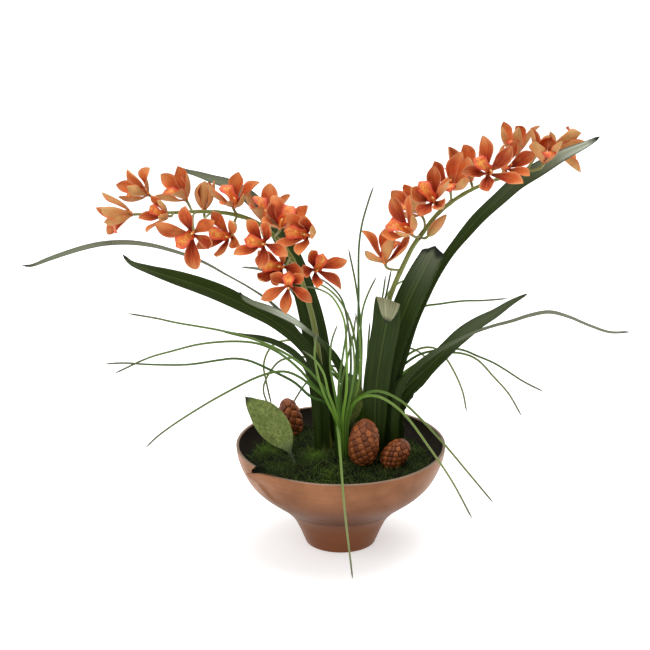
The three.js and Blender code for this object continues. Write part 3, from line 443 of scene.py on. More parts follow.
def bowl_point(radius, height, turn):
    """The bowl at turn degrees past the cut. Above the cut's bottom the start of the wall stands
    2 mm out and its end 1.3 mm in, both fading round the bowl as exp(−turn / LAP_FADE), and the
    start and the end slide over each other by up to 1.5·LAP degrees. The start's rim dips, fading
    as exp(−turn / DIP_FADE), and a shallow crease slants down beside the cut."""
    split = np.clip((height - SLIT_BOTTOM) / (SLIT_MIDDLE - SLIT_BOTTOM), 0, 1)
    lap = ease((height - SLIT_MIDDLE) / (RIM_HEIGHT - SLIT_MIDDLE)) * LAP
    start = np.exp(-turn / LAP_FADE)
    end = np.exp(-(360 - turn) / LAP_FADE)
    crease = 1.6 * np.exp(-(((turn - 5 - 0.5 * (SLIT_BOTTOM - height)) / 2.6) ** 2))
    crease = crease * ease((height - 62) / 12) * ease((97 - height) / 8)
    out = radius + split * (2 * start - 1.3 * end) + crease
    shift = lap * (np.exp(-(360 - turn) / 2.5) - 0.5 * np.exp(-turn / 2.5))
    angle = np.radians(SLIT_ANGLE + turn + shift)
    dip = 0.62 * np.exp(-turn / DIP_FADE)
    z = height - dip * np.maximum(height - SLIT_BOTTOM, 0)
    return np.stack([out * np.cos(angle), out * np.sin(angle), z], -1)


# %% The bowl's grid
RIM_ARC = np.radians([25, 60, 85, 95, 120, 155])
RIM_ROUND = 0.8
GROOVE_HEIGHT = 41
GROOVE_DEPTH = 0.7
GROOVE_HALF = 2.4
LOWER_ROWS = 70
UPPER_ROWS = 14


def bowl_skins():
    """Rows up the outside, over the rim and down the inside. Where bowl meets foot the outside
    is r − GROOVE_DEPTH·exp(−((z − GROOVE_HEIGHT) / GROOVE_HALF)²). Returns the points, the faces
    outside and inside, and the UV map."""
    shoulder = RIM_HEIGHT - RIM_ROUND
    lower = np.linspace(0.7, SLIT_BOTTOM, LOWER_ROWS)
    upper = np.linspace(SLIT_BOTTOM, shoulder, UPPER_ROWS)[1:]
    heights = np.concatenate([lower, upper])
    groove = GROOVE_DEPTH * np.exp(-(((heights - GROOVE_HEIGHT) / GROOVE_HALF) ** 2))
    outside = np.stack([profile_radius(OUTER_PROFILE, heights) - groove, heights], -1)
    inside = np.stack([profile_radius(INNER_PROFILE, heights), np.maximum(heights, POT_FLOOR)], -1)
    middle = RIM_RADIUS - WALL / 2
    arc = np.stack([middle + WALL / 2 * np.cos(RIM_ARC), shoulder + RIM_ROUND * np.sin(RIM_ARC)], -1)
    below = [[0.2, 1.2], [29, 1.2], [31.5, 0.15], [33.8, 0]]
    floor = [[20, POT_FLOOR], [0.2, POT_FLOOR]]
    profile = np.vstack([below, outside, arc, inside[::-1], floor])
    turn = np.linspace(0, 360, POT_COLUMNS + 1)
    points = bowl_point(profile[:, None, 0], profile[:, None, 1], turn[None])
    rows, columns = points.shape[:2]
    i, j = np.meshgrid(np.arange(rows - 1), np.arange(POT_COLUMNS), indexing="ij")
    corner = i * columns + j
    quads = np.stack([corner, corner + 1, corner + columns + 1, corner + columns], -1)
    first_inside = len(below) + len(outside) + len(arc) // 2
    uv = np.stack(np.broadcast_arrays(turn[None] / 360, profile[:, None, 1] / RIM_HEIGHT), -1)
    ends = [np.arange(POT_COLUMNS)[::-1][None], (np.arange(POT_COLUMNS) + (rows - 1) * columns)[None]]
    low = len(below) + LOWER_ROWS - 1
    middle_row = first_inside - 1
    mirror = 2 * first_inside - 1
    cut = np.arange(low, middle_row)
    walls = np.stack([cut, cut + 1, mirror - cut - 1, mirror - cut], -1) * columns
    rim_end = first_inside + len(arc) // 2
    blocks = [quads[:rim_end].reshape(-1, 4), walls, walls[:, ::-1] + POT_COLUMNS, ends[0]]
    inner = [quads[rim_end:].reshape(-1, 4), ends[1]]
    return points.reshape(-1, 3), blocks, inner, uv.reshape(-1, 2)


# %% Copper and the dark inside
def copper_material():
    """Brushed copper under clear lacquer: faint streaks run round the bowl and blotches of tarnish
    darken it. Painted shade darkens the right flank and makes the belly darkest just above the
    foot, a painted shadow line fills the groove between them, and a painted highlight makes the rim's
    edge pale."""
    paint = new_paint(
        "satin_copper", Metallic=0.88, Roughness=0.4, Coat_Weight=0.04, Coat_Roughness=0.2,
        Specular_Tint=(1, 0.91, 0.84, 1),
    )
    where = paint.place()
    streaks = paint.noise(paint.place((5, 60, 1), "UV"), 1.0, 4.0, 0.6)
    blotches = paint.noise(where, 26.0, 4.0, 0.6)
    height = paint.axis("Z", where)
    bright = paint.over((150, 102, 72), (118, 76, 50), blotches, 0.3, 0.7)
    # Painted shade: from 74 mm down to 54 mm the belly darkens where it curves under, darkest just above
    # the foot; from 47 mm down the lighter brown of the foot takes over.
    body = paint.over(bright, (100, 53, 24), height, 0.074, 0.054)
    body = paint.over(body, (122, 74, 46), height, 0.047, 0.028)
    # Painted shade: the right flank darkens by up to 0.35 from x = 50 mm to 96 mm.
    body = paint.over(body, (60, 40, 26), paint.axis("X", where), 0.05, 0.096, 0.35)
    streaked = paint.over(body, (84, 50, 33), streaks, 0.45, 0.75, 0.22)
    # Painted shadow: a dark brown line along the groove, full within 0.8 mm of it and gone at 2.8 mm.
    from_groove = paint.maths("ABSOLUTE", paint.maths("SUBTRACT", height, GROOVE_HEIGHT * MM))
    lined = paint.over(streaked, (56, 32, 20), from_groove, 0.0028, 0.0008, 0.6)
    # Painted highlight: a pale band over the rim's rounded top, from 1.6 mm below the rim height up.
    rim = (RIM_HEIGHT - 1.6) * MM
    wear_and_highlight = paint.over(lined, (150, 134, 118), height, rim, rim + MM, 0.7)
    paint.link(paint.between(blotches, 0.3, 0.7, 0.36, 0.46), "Roughness")
    return paint.finish(wear_and_highlight, streaks, 0.00005)


def dark_lacquer_material():
    """Near-black lacquer with faint brown clouds."""
    paint = new_paint("dark_lacquer", Roughness=0.45)
    clouds = paint.noise(paint.place(), 60.0)
    black = paint.mixed(clouds, (30, 24, 20), (52, 42, 35))
    return paint.finish(black, paint.noise(paint.place(), 500.0), 0.0001)


# %% Make the bowl
points, outside_faces, inside_faces, bowl_uv = bowl_skins()
bowl_materials = [copper_material(), dark_lacquer_material()]
outside = Skin(points, outside_faces, bowl_uv, {}, 0)
inside = Skin(points, inside_faces, bowl_uv, {}, 1)
bowl = make_piece("copper_bowl", [outside, inside], bowl_materials, "pot")


def merge_doubles(piece, distance=1e-6):
    """Joins points that lie in one place, such as a grid's first and last columns."""
    work = bmesh.new()
    work.from_mesh(piece.data)
    bmesh.ops.remove_doubles(work, verts=work.verts, dist=distance)
    loose = [v for v in work.verts if not v.link_faces]
    bmesh.ops.delete(work, geom=loose, context="VERTS")
    work.to_mesh(piece.data)
    work.free()


merge_doubles(bowl)
print("bowl:", len(bowl.data.polygons), "faces")

# %% [markdown]
# ## Foam and moss
#
# The foam is hidden, so its CAD solid stays and only gets a porous brown. The moss is a bed with
# lumps, and on it stand thousands of short bent fibres, which give it the shaggy edge that a
# bumpy surface can't. Fibres are three-sided spikes, all worked out at once. Four cushions swell
# out of it, two of them fresh green and two only a little, and long fresh blades curl at the front.

# %% Moss bed
# foot and tip: across, up and back of a cone's ends. pick: x and y of its wire. scale: width of
# one of its scales.
CONES = [
    dict(name="cone_1", foot=(-45, 103, 56), tip=(-55, 140, 57), radius=11.5, pick=(-44, 55), scale=7.6),
    dict(name="cone_2", foot=(21, 74, -23), tip=(26, 119, -26), radius=15.5, pick=(21, -23), scale=6.9),
    dict(name="cone_3", foot=(45, 73, -20), tip=(66, 97, -26), radius=12.5, pick=(44, -19), scale=5.8),
    dict(name="cone_4", foot=(43, 104, 60), tip=(46, 132, 61), radius=8.5, pick=(43, 60), scale=5.4),
]
Cushion = namedtuple("Cushion", "x y reach rise fresh")
CUSHIONS = [
    Cushion(-74, 8, 10, 5.0, 1.1),
    Cushion(-25, -12, 11, 5.0, 0.9),
    Cushion(-58, -34, 12, 3.0, 0.2),
    Cushion(66, 20, 16, 3.0, 0.2),
]
MOSS_EDGE = 95.8
MOSS_UNDER_EDGE = 94.5
MOSS_UNDERSIDE = 73.85


def bell(x, y, cushion):
    """A cushion's swelling from 0 to 1: exp(−(distance / reach)²)."""
    return np.exp(-(((x - cushion.x) ** 2 + (y - cushion.y) ** 2) / cushion.reach**2))


def moss_height(x, y):
    """86 + a broad mound near the middle − 0.04x + lumps + cushions. Over the last 15 mm to the
    wall that height h goes over into 38.5 + h/2, which is some millimetres lower."""
    mound = 8 * np.exp(-(((x + 5) / 55) ** 2) - ((y + 10) / 50) ** 2)
    lumps = 1.9 * np.sin(x / 7.5 + np.sin(y / 9)) * np.cos(y / 6.2) + 1.2 * np.sin((x + 0.8 * y) / 4.1)
    height = 86 + mound - 0.04 * x + lumps
    height = height + sum(cushion.rise * bell(x, y, cushion) for cushion in CUSHIONS)
    edge = ease((np.hypot(x, y) - 81) / 15)
    return height * (1 - edge) + (0.5 * height + 38.5) * edge


def cushion_share(x, y):
    """How far a place belongs to one of the fresher cushions."""
    return np.max([cushion.fresh * bell(x, y, cushion) for cushion in CUSHIONS], axis=0)


def moss_bed(columns=120, rows=46):
    """Rings from the underside's middle out to the wall, up the edge, and in over the top."""
    turn = 2 * pi * np.arange(columns) / columns
    inward = np.linspace(1, 0.004, rows)
    under = np.array([0.004, 0.5, 0.93])
    reach = np.concatenate([under * MOSS_UNDER_EDGE, MOSS_EDGE * inward])
    x = reach[:, None] * np.cos(turn)
    y = reach[:, None] * np.sin(turn)
    z = moss_height(x, y)
    z[: len(under)] = MOSS_UNDERSIDE
    rings = np.stack([x, y, z], -1)
    fresh = cushion_share(x, y)
    return ring_skin(rings, 0.5, 0.0, fresh=fresh, tip=0.0, tone=0.4)


# %% Moss fibres
MOSS_SEED = 11
FIBRE_COUNT = 8600
FIBRE_LENGTH = 6.5
FIBRE_RADIUS = 0.42
STRAND_COUNT = 95
STRAND_RADIUS = 0.62


def fibres(base, lean, bend, length, radius, **marks):
    """Three-sided spikes. At share t a fibre's centre is base + length·(t·lean + t²·bend/2), and
    its radius is radius·(1 − t)."""
    count = len(base)
    share = np.array([0.0, 0.4, 0.75, 1.0])
    t = share[None, :, None]
    centre = base[:, None] + length[:, None, None] * (t * lean[:, None] + 0.5 * t**2 * bend[:, None])
    side, normal = ribbon_frame(lean, np.roll(lean, 1, axis=1) + 0.3)
    angle = 2 * pi * np.arange(3) / 3
    spoke = -side[:, None] * np.cos(angle)[:, None] + normal[:, None] * np.sin(angle)[:, None]
    wide = (radius[:, None] * (1 - share[:3]))[..., None, None]
    rings = centre[:, :3, None] + wide * spoke[:, None]
    points = np.concatenate([rings.reshape(count, 9, 3), centre[:, 3:]], axis=1)
    k = np.arange(3)
    after = (k + 1) % 3
    band = np.stack([k, after, after + 3, k + 3], -1)
    quads = np.concatenate([band, band + 3])
    point = np.stack([k + 6, after + 6, np.full(3, 9)], -1)
    close = np.array([[2, 1, 0]])
    start = 10 * np.arange(count)[:, None, None]
    faces = [(quads + start).reshape(-1, 4), (np.concatenate([point, close]) + start).reshape(-1, 3)]
    tip = np.tile(np.concatenate([np.repeat(share[:3], 3), share[3:]]), count)
    spread = {name: np.repeat(value, 10) for name, value in marks.items()}
    uv = np.stack([np.repeat(0.5, count * 10), tip], -1)
    return Skin(points.reshape(-1, 3), faces, uv, dict(spread, tip=tip), 0)


def inside_cones(x, y, z):
    """True where a point lies in one of the cones' ovals."""
    hit = np.zeros(len(x), bool)
    for cone in CONES:
        foot, tip = seen([cone["foot"], cone["tip"]])
        middle = (foot + tip) / 2
        along = unit(tip - foot)
        offset = np.stack([x, y, z], -1) - middle
        run = offset @ along
        away = np.linalg.norm(offset - run[:, None] * along, axis=1)
        hit |= (run / (np.linalg.norm(tip - foot) / 2)) ** 2 + (away / cone["radius"]) ** 2 < 1
    return hit


def moss_fibres(rng, reach=91, spread_out=0.8):
    """Fibres scattered evenly over the bed. They lean at random, inward near the wall, and bend
    over."""
    far = reach * np.sqrt(rng.random(FIBRE_COUNT))
    turn = 2 * pi * rng.random(FIBRE_COUNT)
    x, y = far * np.cos(turn), far * np.sin(turn)
    z = moss_height(x, y) - 0.6
    free = ~inside_cones(x, y, z + 1)
    x, y, z, far = x[free], y[free], z[free], far[free]
    lean = rng.normal(0, spread_out, (len(x), 3))
    lean[:, 2] = 0.75 + 0.4 * rng.random(len(x))
    inward = -np.stack([x, y, 0 * x], -1) / MOSS_EDGE
    lean = unit(lean + inward * 1.2 * ease((far - 79) / 12)[:, None])
    bend = rng.normal(0, 0.75, (len(x), 3)) - [0, 0, 0.35]
    long = FIBRE_LENGTH * (0.55 + 0.9 * rng.random(len(x)))
    fresh = cushion_share(x, y)
    tone = rng.random(len(x))
    thick = FIBRE_RADIUS * (0.7 + 0.6 * rng.random(len(x)))
    return fibres(np.stack([x, y, z], -1), lean, bend, long, thick, fresh=fresh, tone=tone)


def front_strands(rng, count=STRAND_COUNT):
    """Longer fresh blades that curl out of the moss at the front."""
    x = rng.normal(-11, 10, count)
    y = rng.normal(-56, 13, count)
    z = moss_height(x, y)
    lean = [rng.normal(0, 0.5, count), rng.normal(-0.5, 0.4, count), 0.6 + rng.random(count)]
    bend = [rng.normal(0, 0.9, count), rng.normal(0, 0.5, count), rng.normal(-1.1, 0.4, count)]
    long = 10 + 9 * rng.random(count)
    base, lean, bend = (np.stack(rows, -1) for rows in ([x, y, z], lean, bend))
    thick = np.full(count, STRAND_RADIUS)
    return fibres(base, unit(lean), bend, long, thick, fresh=np.ones(count), tone=rng.random(count))


def moss_material():
    """Dark green dried moss, pale at the fibres' tips, with painted shade that makes it nearly black at
    their feet and on the bed between them. Some fibres are straw coloured, and the cushions are fresher
    green."""
    paint = new_paint("dried_moss", Roughness=0.95, Specular_IOR_Level=0.2)
    where = paint.place()
    patches = paint.noise(where, 45.0, 4.0, 0.6)
    deep = paint.over((5, 10, 2), (40, 56, 18), patches, 0.4, 0.6)
    wear_and_highlight = paint.over(deep, (94, 100, 50), paint.mark("tone"), 0.6, 1.0, 0.8)
    tip = paint.mark("tip")
    # Painted shade: fibres darken towards near black at their feet, and the bed, whose tip mark is 0, by
    # 0.75.
    shaded = paint.over(wear_and_highlight, (6, 10, 3), tip, 0.35, 0.0, 0.75)
    lively = paint.mixed(paint.mark("fresh"), shaded, (80, 110, 32))
    tips = paint.mixed(paint.maths("MULTIPLY", tip, 0.42), lively, (124, 146, 74))
    return paint.finish(tips, paint.noise(where, 420.0, 5.0, 0.7), 0.0012)


def foam_material():
    """Brown floral foam with fine pores."""
    paint = new_paint("floral_foam", Roughness=0.95)
    pores = paint.node("TexVoronoi", "Distance", Vector=paint.place(), Scale=900.0)
    brown = paint.ramp(pores, (0, (35, 27, 18)), (0.5, (78, 64, 44)))
    return paint.finish(brown, pores, 0.0004)


rng = np.random.default_rng(MOSS_SEED)
moss_skins = [moss_bed(), moss_fibres(rng), front_strands(rng)]
moss = make_piece("moss_bed", moss_skins, [moss_material()], "moss")
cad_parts["potting_foam"].material_slots[0].material = foam_material()
print("moss:", len(moss.data.polygons), "faces")

# %% [markdown]
# ## Strap leaves
#
# Cymbidium leaves are long straps, folded a little along the midrib. The cloth ones here are dark
# green above and pale grey-green below, with fine lengthwise veins pressed into them. A leaf is a
# blade along its route: its width is read off evenly spaced samples, and the direction that it
# faces turns from root to tip. One leaf is folded down over its own front, one has a torn end and
# one a frayed edge, and those only bend the same grid.

# %% Routes of the strap leaves
# root: x and y where it stands. route: across, up and back. width, grey and faces: its width, how
# much painted sheen greys it and the way it faces, from root to tip. end: how far each column of a torn
# end goes on. frayed: the span with a frayed edge. tilt: how much lower one side of a folded end hangs.
STAKE_BOTTOM = 60
STAKE_TOP = 93
LEAVES = [
    dict(
        name="leaf_left_1", root=(-17, 6), fold=0.1, grey=[0, 0, 0, 0, 0, 0, 0, 0.2],
        route=[
            (-17, 130, 6), (-24, 172, 4), (-40, 196, 0), (-66, 217, -6), (-92, 231, -12),
            (-118, 243.5, -20), (-143, 253, -30), (-168, 261, -40), (-192, 268.5, -50),
            (-210, 275.5, -57), (-218, 284, -60),
        ],
        width=[11, 12, 12, 12, 14, 16, 18, 19, 17, 10, 3],
        faces=[(0, -1, 0.2), (0.3, -0.75, 0.65), (0.2, -0.6, 0.8)],
    ),
    dict(
        name="leaf_left_2", root=(-2, 2), fold=0.1, grey=[0, 0, 0, 0, 0.1, 0.95, 0.7, 0.4],
        route=[
            (4, 140, -2), (4, 158, -5), (-1, 173, -8), (-10, 187, -12), (-21, 198.5, -15),
            (-31, 206.5, -17), (-46, 217.5, -19), (-69, 229, -21), (-84, 234.5, -23), (-96, 240, -25),
            (-101, 247, -25),
        ],
        width=[8, 8, 8, 8, 8.5, 8, 4, 6, 7.5, 7, 2.5],
        faces=[(0, -1, 0.1), (-0.3, -0.8, 0.2), (0, -0.9, -0.3)],
    ),
    dict(
        name="leaf_left_3", root=(-15, 21), fold=0.08, grey=[0, 0, 0.05, 0.4, 0.6, 0.65, 0.55, 0.4],
        route=[
            (-22, 150, 20), (-29, 175, 20), (-40, 199, 19), (-54, 219, 17), (-70, 236, 14),
            (-91, 250.5, 11), (-116, 264.5, 8), (-134, 274.5, 6), (-150.5, 281.5, 4), (-170.5, 288, 0),
            (-190.5, 293, -4), (-212, 295.5, -8), (-236, 294.5, -12), (-256, 290.5, -16),
            (-276, 284.5, -20), (-292, 279, -23), (-310, 272.5, -26), (-318.5, 273, -27),
        ],
        width=[8, 9, 9, 9, 8, 6, 4.5, 4.5, 5.5, 7, 9, 9, 9, 9, 7, 3],
        faces=[(0, -1, 0.1), (0.35, -0.05, 1), (0.2, -0.2, 1)],
    ),
    dict(
        name="leaf_left_4", root=(-22, -4), fold=0.1, grey=[0, 0, 0, 0, 0, 0.3],
        route=[
            (-26, 140, -8), (-30, 160, -12), (-39, 177, -16), (-51, 188, -20), (-65, 195.5, -24),
            (-79, 200, -27), (-96, 202.5, -30), (-118.5, 207, -34),
        ],
        width=[6, 7, 8, 9, 9, 9, 7, 5, 2],
        faces=[(0, -1, 0.1), (0.3, -0.5, 0.9), (0.15, -0.6, 0.8)],
    ),
    dict(
        name="leaf_left_5", root=(-8, 27), fold=0.07, grey=[0, 0, 0, 0, 0, 0, 0.1, 0.5, 0.6, 0.4],
        route=[
            (-14, 140, 29), (-20, 165, 30), (-24, 194, 32), (-30, 224, 34), (-38.5, 253.5, 36),
            (-49, 281, 38), (-62, 306, 40), (-78, 328, 42), (-96, 345, 44), (-112.5, 354.5, 46),
            (-128.5, 359.5, 47), (-143.5, 364.5, 48), (-154.5, 367.5, 48), (-163, 371.5, 48),
        ],
        width=[12, 16, 20, 24, 25, 24, 22, 20, 18, 16, 14, 11, 7, 2.5],
        faces=[(0, -1, 0.1), (0.2, -1, 0.2), (0.2, -0.75, 0.65)],
    ),
    dict(
        name="leaf_left_6", root=(-20, 35), fold=0.1, grey=[0, 0.2, 0.5, 0.6, 0.6],
        route=[
            (-20, 140, 42), (-28.5, 198, 50), (-40, 236, 54), (-56.5, 257.5, 56), (-78.5, 268.5, 56),
            (-100, 271.5, 56),
        ],
        width=[8, 8, 8, 8, 7, 5, 2],
        faces=[(0, -1, 0.1), (0.3, -0.6, 0.6), (0, -0.4, 1)],
    ),
    dict(
        name="leaf_right_1", root=(43, 25), fold=0.09, grey=[0, 0, 0, 0, 0, 0, 0, 0, 0.1, 0.25, 0.85, 1],
        route=[
            (48, 150, 26), (59, 188, 26), (69.5, 217, 25), (83, 243, 24), (97, 267, 24),
            (109.5, 286, 24), (122.5, 302.5, 24), (139, 321.5, 23), (159.5, 340.5, 22),
            (177.5, 356.5, 21), (195.5, 368, 20), (222, 383.5, 16), (247, 395, 15), (259.5, 402, 14),
        ],
        width=[13, 18, 20, 20, 18, 14, 10, 9.5, 12, 13, 14.5, 14.5, 10, 3],
        faces=[(0, -1, 0.1), (-0.3, -1, 0.3), (-0.3, -0.9, -0.1)],
    ),
    dict(
        name="leaf_right_2", root=(39, 15), fold=0.07, grey=[0, 0, 0, 0, 0, 0.1, 0.45],
        route=[
            (41, 143, 15), (47, 174, 15), (55.5, 204, 14), (68, 237, 12), (82, 266, 10), (94, 288.5, 8),
        ],
        width=[13, 18, 22, 24.5, 26.5, 26, 22],
        faces=[(0, -1, 0.1), (-0.2, -1, 0.25), (-0.2, -1, 0.3)],
        end=[-6, -3, -2.1, -2, 4.4, 3.6, 1, -1.4, -1, 2.2, 1],
    ),
    dict(
        name="leaf_right_3", root=(34, -3), fold=0.03, grey=[0, 0], bend=True, tilt=0.36,
        route=[
            (35, 140, -4), (37, 160, -6), (41, 189, -8), (45.5, 214, -10), (47, 231, -11),
            (47.6, 239, -15), (47.6, 234, -20.5), (46.8, 225, -22), (46, 215.5, -22.5),
        ],
        width=[12, 18, 22, 24, 25, 25.5, 26, 26, 26, 21, 6],
        faces=[(0, -1, 0.1), (-0.1, -1, 0.2), (0, 0.9, 0.35)],
    ),
    dict(
        name="leaf_right_4", root=(54, 20), fold=0.09, grey=[0, 0, 0, 0, 0.15, 0.2, 0.1],
        frayed=(0.08, 0.36),
        route=[
            (54, 132, 20), (64, 148.5, 20), (82, 166, 20), (99, 182, 21), (117.5, 200, 22),
            (137, 215, 23), (154.5, 225, 24), (171, 236, 25), (187.5, 245, 26),
        ],
        width=[14, 24, 27, 22, 16, 15, 15, 11, 7, 2],
        faces=[(0, -1, 0.1), (-0.4, -0.9, 0.3), (-0.3, -0.8, 0.4)],
    ),
    dict(
        name="leaf_right_5", root=(53, 1), fold=0.1, grey=[0, 0, 0.1, 0.35, 0.5, 0.6, 0.6],
        route=[
            (58, 146, 1), (74, 170, 1), (95, 186, 0), (114.5, 196.5, -1), (133.5, 205.5, -2),
            (152.5, 212, -4), (171.5, 217, -6), (190.5, 223, -8), (209.5, 226, -10), (229, 221, -12),
            (248, 213, -14), (269.5, 206, -16), (289.5, 206.5, -18),
        ],
        width=[8, 8, 7.5, 7, 7, 7, 7, 7, 7, 7, 6, 5, 3],
        faces=[(0, -1, 0.1), (-0.3, -0.1, 1), (0.2, -0.15, 1)],
    ),
]


# %% The leaf surface
def facing(faces, shares):
    """The face direction, turned evenly from the first through the second to the third."""
    rows = unit(np.array(faces, float))
    return unit(at_lengths(shares, [0, 0.5, 1], rows))


def leaf_path(leaf, spacing):
    """Stations of a leaf from inside the foam to its tip: path, side, normal and shares."""
    root = np.array([*leaf["root"], STAKE_TOP], float)
    points = np.vstack([root, seen(leaf["route"])])
    path, shares = stations(points, spacing)
    stake_face = unit(np.array([leaf["faces"][0][0], leaf["faces"][0][1], 0.0]))
    if leaf.get("bend"):
        # A folded leaf keeps its side direction, and its face turns over with the fold.
        side = np.cross([0, 0, 1.0], stake_face)
        side = unit(side - (path.tangent @ side)[:, None] * path.tangent)
        normal = np.cross(side, path.tangent)
    else:
        face = facing(leaf["faces"], shares)
        face = face + (stake_face - face) * ease(1 - shares / 0.12)[:, None]
        side, normal = ribbon_frame(path.tangent, face)
    below = root - [0, 0, STAKE_TOP - STAKE_BOTTOM - 8]
    stake = np.cross([0, 0, 1.0], stake_face)
    centre = np.vstack([below, path.centre])
    tangent = np.vstack([[0, 0, 1], path.tangent])
    side = np.vstack([stake, side])
    normal = np.vstack([stake_face, normal])
    return Path(centre, tangent, path.length), side, normal, np.concatenate([[0], shares])


def torn_end(tangent, shares, columns, end):
    """Moves the last seventh of a leaf along its length by a different amount in every column."""
    steps = np.interp(np.linspace(0, 1, columns), np.linspace(0, 1, len(end)), end)
    weight = ease((shares - 0.86) / 0.14)
    return tangent[:, None] * (weight[:, None] * steps)[..., None]


def frayed_pull(side, half, shares, columns, span):
    """Pulls one edge in by a saw-toothed share of the half width, along a span of the leaf."""
    inside_span = ease((shares - span[0]) / 0.03) * ease((span[1] - shares) / 0.05)
    saw = (shares * 26) % 1 * 0.55 + (shares * 61) % 1 * 0.3
    depth = inside_span * saw * 0.3 * half
    c = np.linspace(-1, 1, columns)
    edge = np.clip(c - 0.55, 0, None) / 0.45
    return -side[:, None] * (depth[:, None] * edge)[..., None]


def strap_leaf(leaf, columns=17, spacing=4.0, seed=0):
    """A strap: half width from the samples, edges raised by fold·width in a soft V, a groove at
    the midrib, and slow waves along the edges. Where the leaf says so, its end is torn, an edge
    is frayed, or its folded end hangs lower on one side."""
    path, side, normal, shares = leaf_path(leaf, spacing)
    rng = np.random.default_rng(seed)
    width = smooth(leaf["width"], shares)
    torn = leaf.get("end")
    if not torn:
        width = width * tip_taper(shares, path.length, 5, 0.004)
    half = np.maximum(width / 2, 0.15)
    c = np.linspace(-1, 1, columns)
    vee = np.sqrt(c**2 + 0.02) - 0.14
    wave = np.sin(shares[:, None] * path.length / 14 + rng.random() * 6 + 1.3 * np.sign(c))
    rise = leaf["fold"] * width[:, None] * vee
    rise = rise + 0.035 * half[:, None] * wave * np.abs(c) ** 3
    rise = rise - 0.22 * np.exp(-((c / 0.07) ** 2))
    thick = 0.35 + 0.6 * (1 - np.abs(c)) ** 1.5 + np.zeros_like(rise)
    thick = thick * np.clip(half / 1.2, 0.4, 1)[:, None]
    pull = torn_end(path.tangent, shares, columns, torn) if torn else None
    if "frayed" in leaf:
        pull = frayed_pull(side, half, shares, columns, leaf["frayed"])
    if "tilt" in leaf:
        lower = ease((shares - 0.55) / 0.22)[:, None] * leaf["tilt"] * half[:, None] * c
        pull = lower[..., None] * np.array([0, 0, -1.0]) * np.sign(side[-1, 0])
    grey = smooth(leaf["grey"], shares)[:, None]
    return blade(path.centre, side, normal, half, rise, thick, shares, pull=pull, grey=grey)


def strap_leaf_material():
    """Dark green cloth leaf with veins along it, a paler midrib and a dark tip. Stretches marked
    grey carry painted sheen, from a grey cast to a pale highlight, kept off a dark edge. The underside
    is pale with a darker rib."""
    paint = new_paint("strap_leaf_cloth", Roughness=0.42, Specular_IOR_Level=0.13)
    fine = paint.noise(paint.place((26, 1.6, 1), "UV"), 1.0, 5.0, 0.6)
    broad = paint.noise(paint.place(), 26.0, 3.0)
    veins = paint.noise(paint.place((60, 0.6, 1), "UV"), 1.0, 2.0, 0.5)
    green = paint.over((18, 28, 5), (60, 80, 25), fine, 0.3, 0.7)
    green = paint.over(green, (35, 52, 13), broad, 0.35, 0.7, 0.5)
    offset = paint.off_middle()
    rib = paint.between(offset, 0.035, 0.0, 0.0, 0.45)
    upper = paint.mixed(rib, green, (92, 108, 48))
    lower = paint.over((100, 106, 72), (172, 172, 138), fine, 0.3, 0.7)
    lower = paint.mixed(rib, lower, (84, 92, 54))
    # Painted sheen: where a leaf is marked grey its green turns to a grey cast of light, and higher
    # marks to a pale painted highlight that stays off a dark edge.
    grey = paint.mark("grey")
    sheen_grey = paint.mixed(fine, (102, 110, 86), (156, 160, 138))
    sheen = paint.over((196, 202, 186), (126, 138, 108), fine, 0.45, 0.65)
    pale = paint.over(sheen_grey, sheen, grey, 0.65, 0.95)
    edged = paint.over(pale, (42, 54, 28), offset, 0.34, 0.47, 0.8)
    with_sheen = paint.over(upper, edged, grey, 0.0, 0.85)
    sided = paint.mixed(paint.mark("under"), with_sheen, lower)
    final = paint.over(sided, (34, 40, 28), paint.along(), 0.965, 0.99)
    return paint.finish(final, veins, 0.00025, 0.7)


leaf_cloth = strap_leaf_material()
for number, leaf in enumerate(LEAVES):
    skin = strap_leaf(leaf, seed=number)
    make_piece("strap_" + leaf["name"], [skin], [leaf_cloth], leaf["name"])
print("strap leaves:", len(LEAVES))

# %% [markdown]
# ## Broad leaves
#
# Two mottled leaves stand low in the moss on short stalks. They have side veins that leave the
# midrib at a slant, which a saw wave of the place along and across the leaf draws. The same wave
# presses them into the surface.

# %% Broad leaves
BROAD_LEAVES = [
    dict(
        name="broad_leaf_1", root=(-45, -26), fold=0.05,
        route=[
            (-50, 85, -20), (-56, 97, -13), (-66, 111, -9), (-77, 124, -8), (-88, 134, -9),
            (-95.5, 142, -10),
        ],
        width=[3, 4, 20, 29, 31, 27, 16, 2],
        faces=[(0.1, -1, 0.1), (0.15, -0.9, 0.35), (0.1, -0.9, 0.4)],
    ),
    dict(
        name="broad_leaf_2", root=(9, 41), fold=0.05,
        route=[(9, 112, 41), (9, 125, 41), (9.5, 139, 41), (10, 153, 41), (9, 166, 41)],
        width=[3, 5, 18, 25, 26, 20, 3],
        faces=[(0, -1, 0), (0, -1, 0.15), (0, -1, 0.2)],
    ),
]


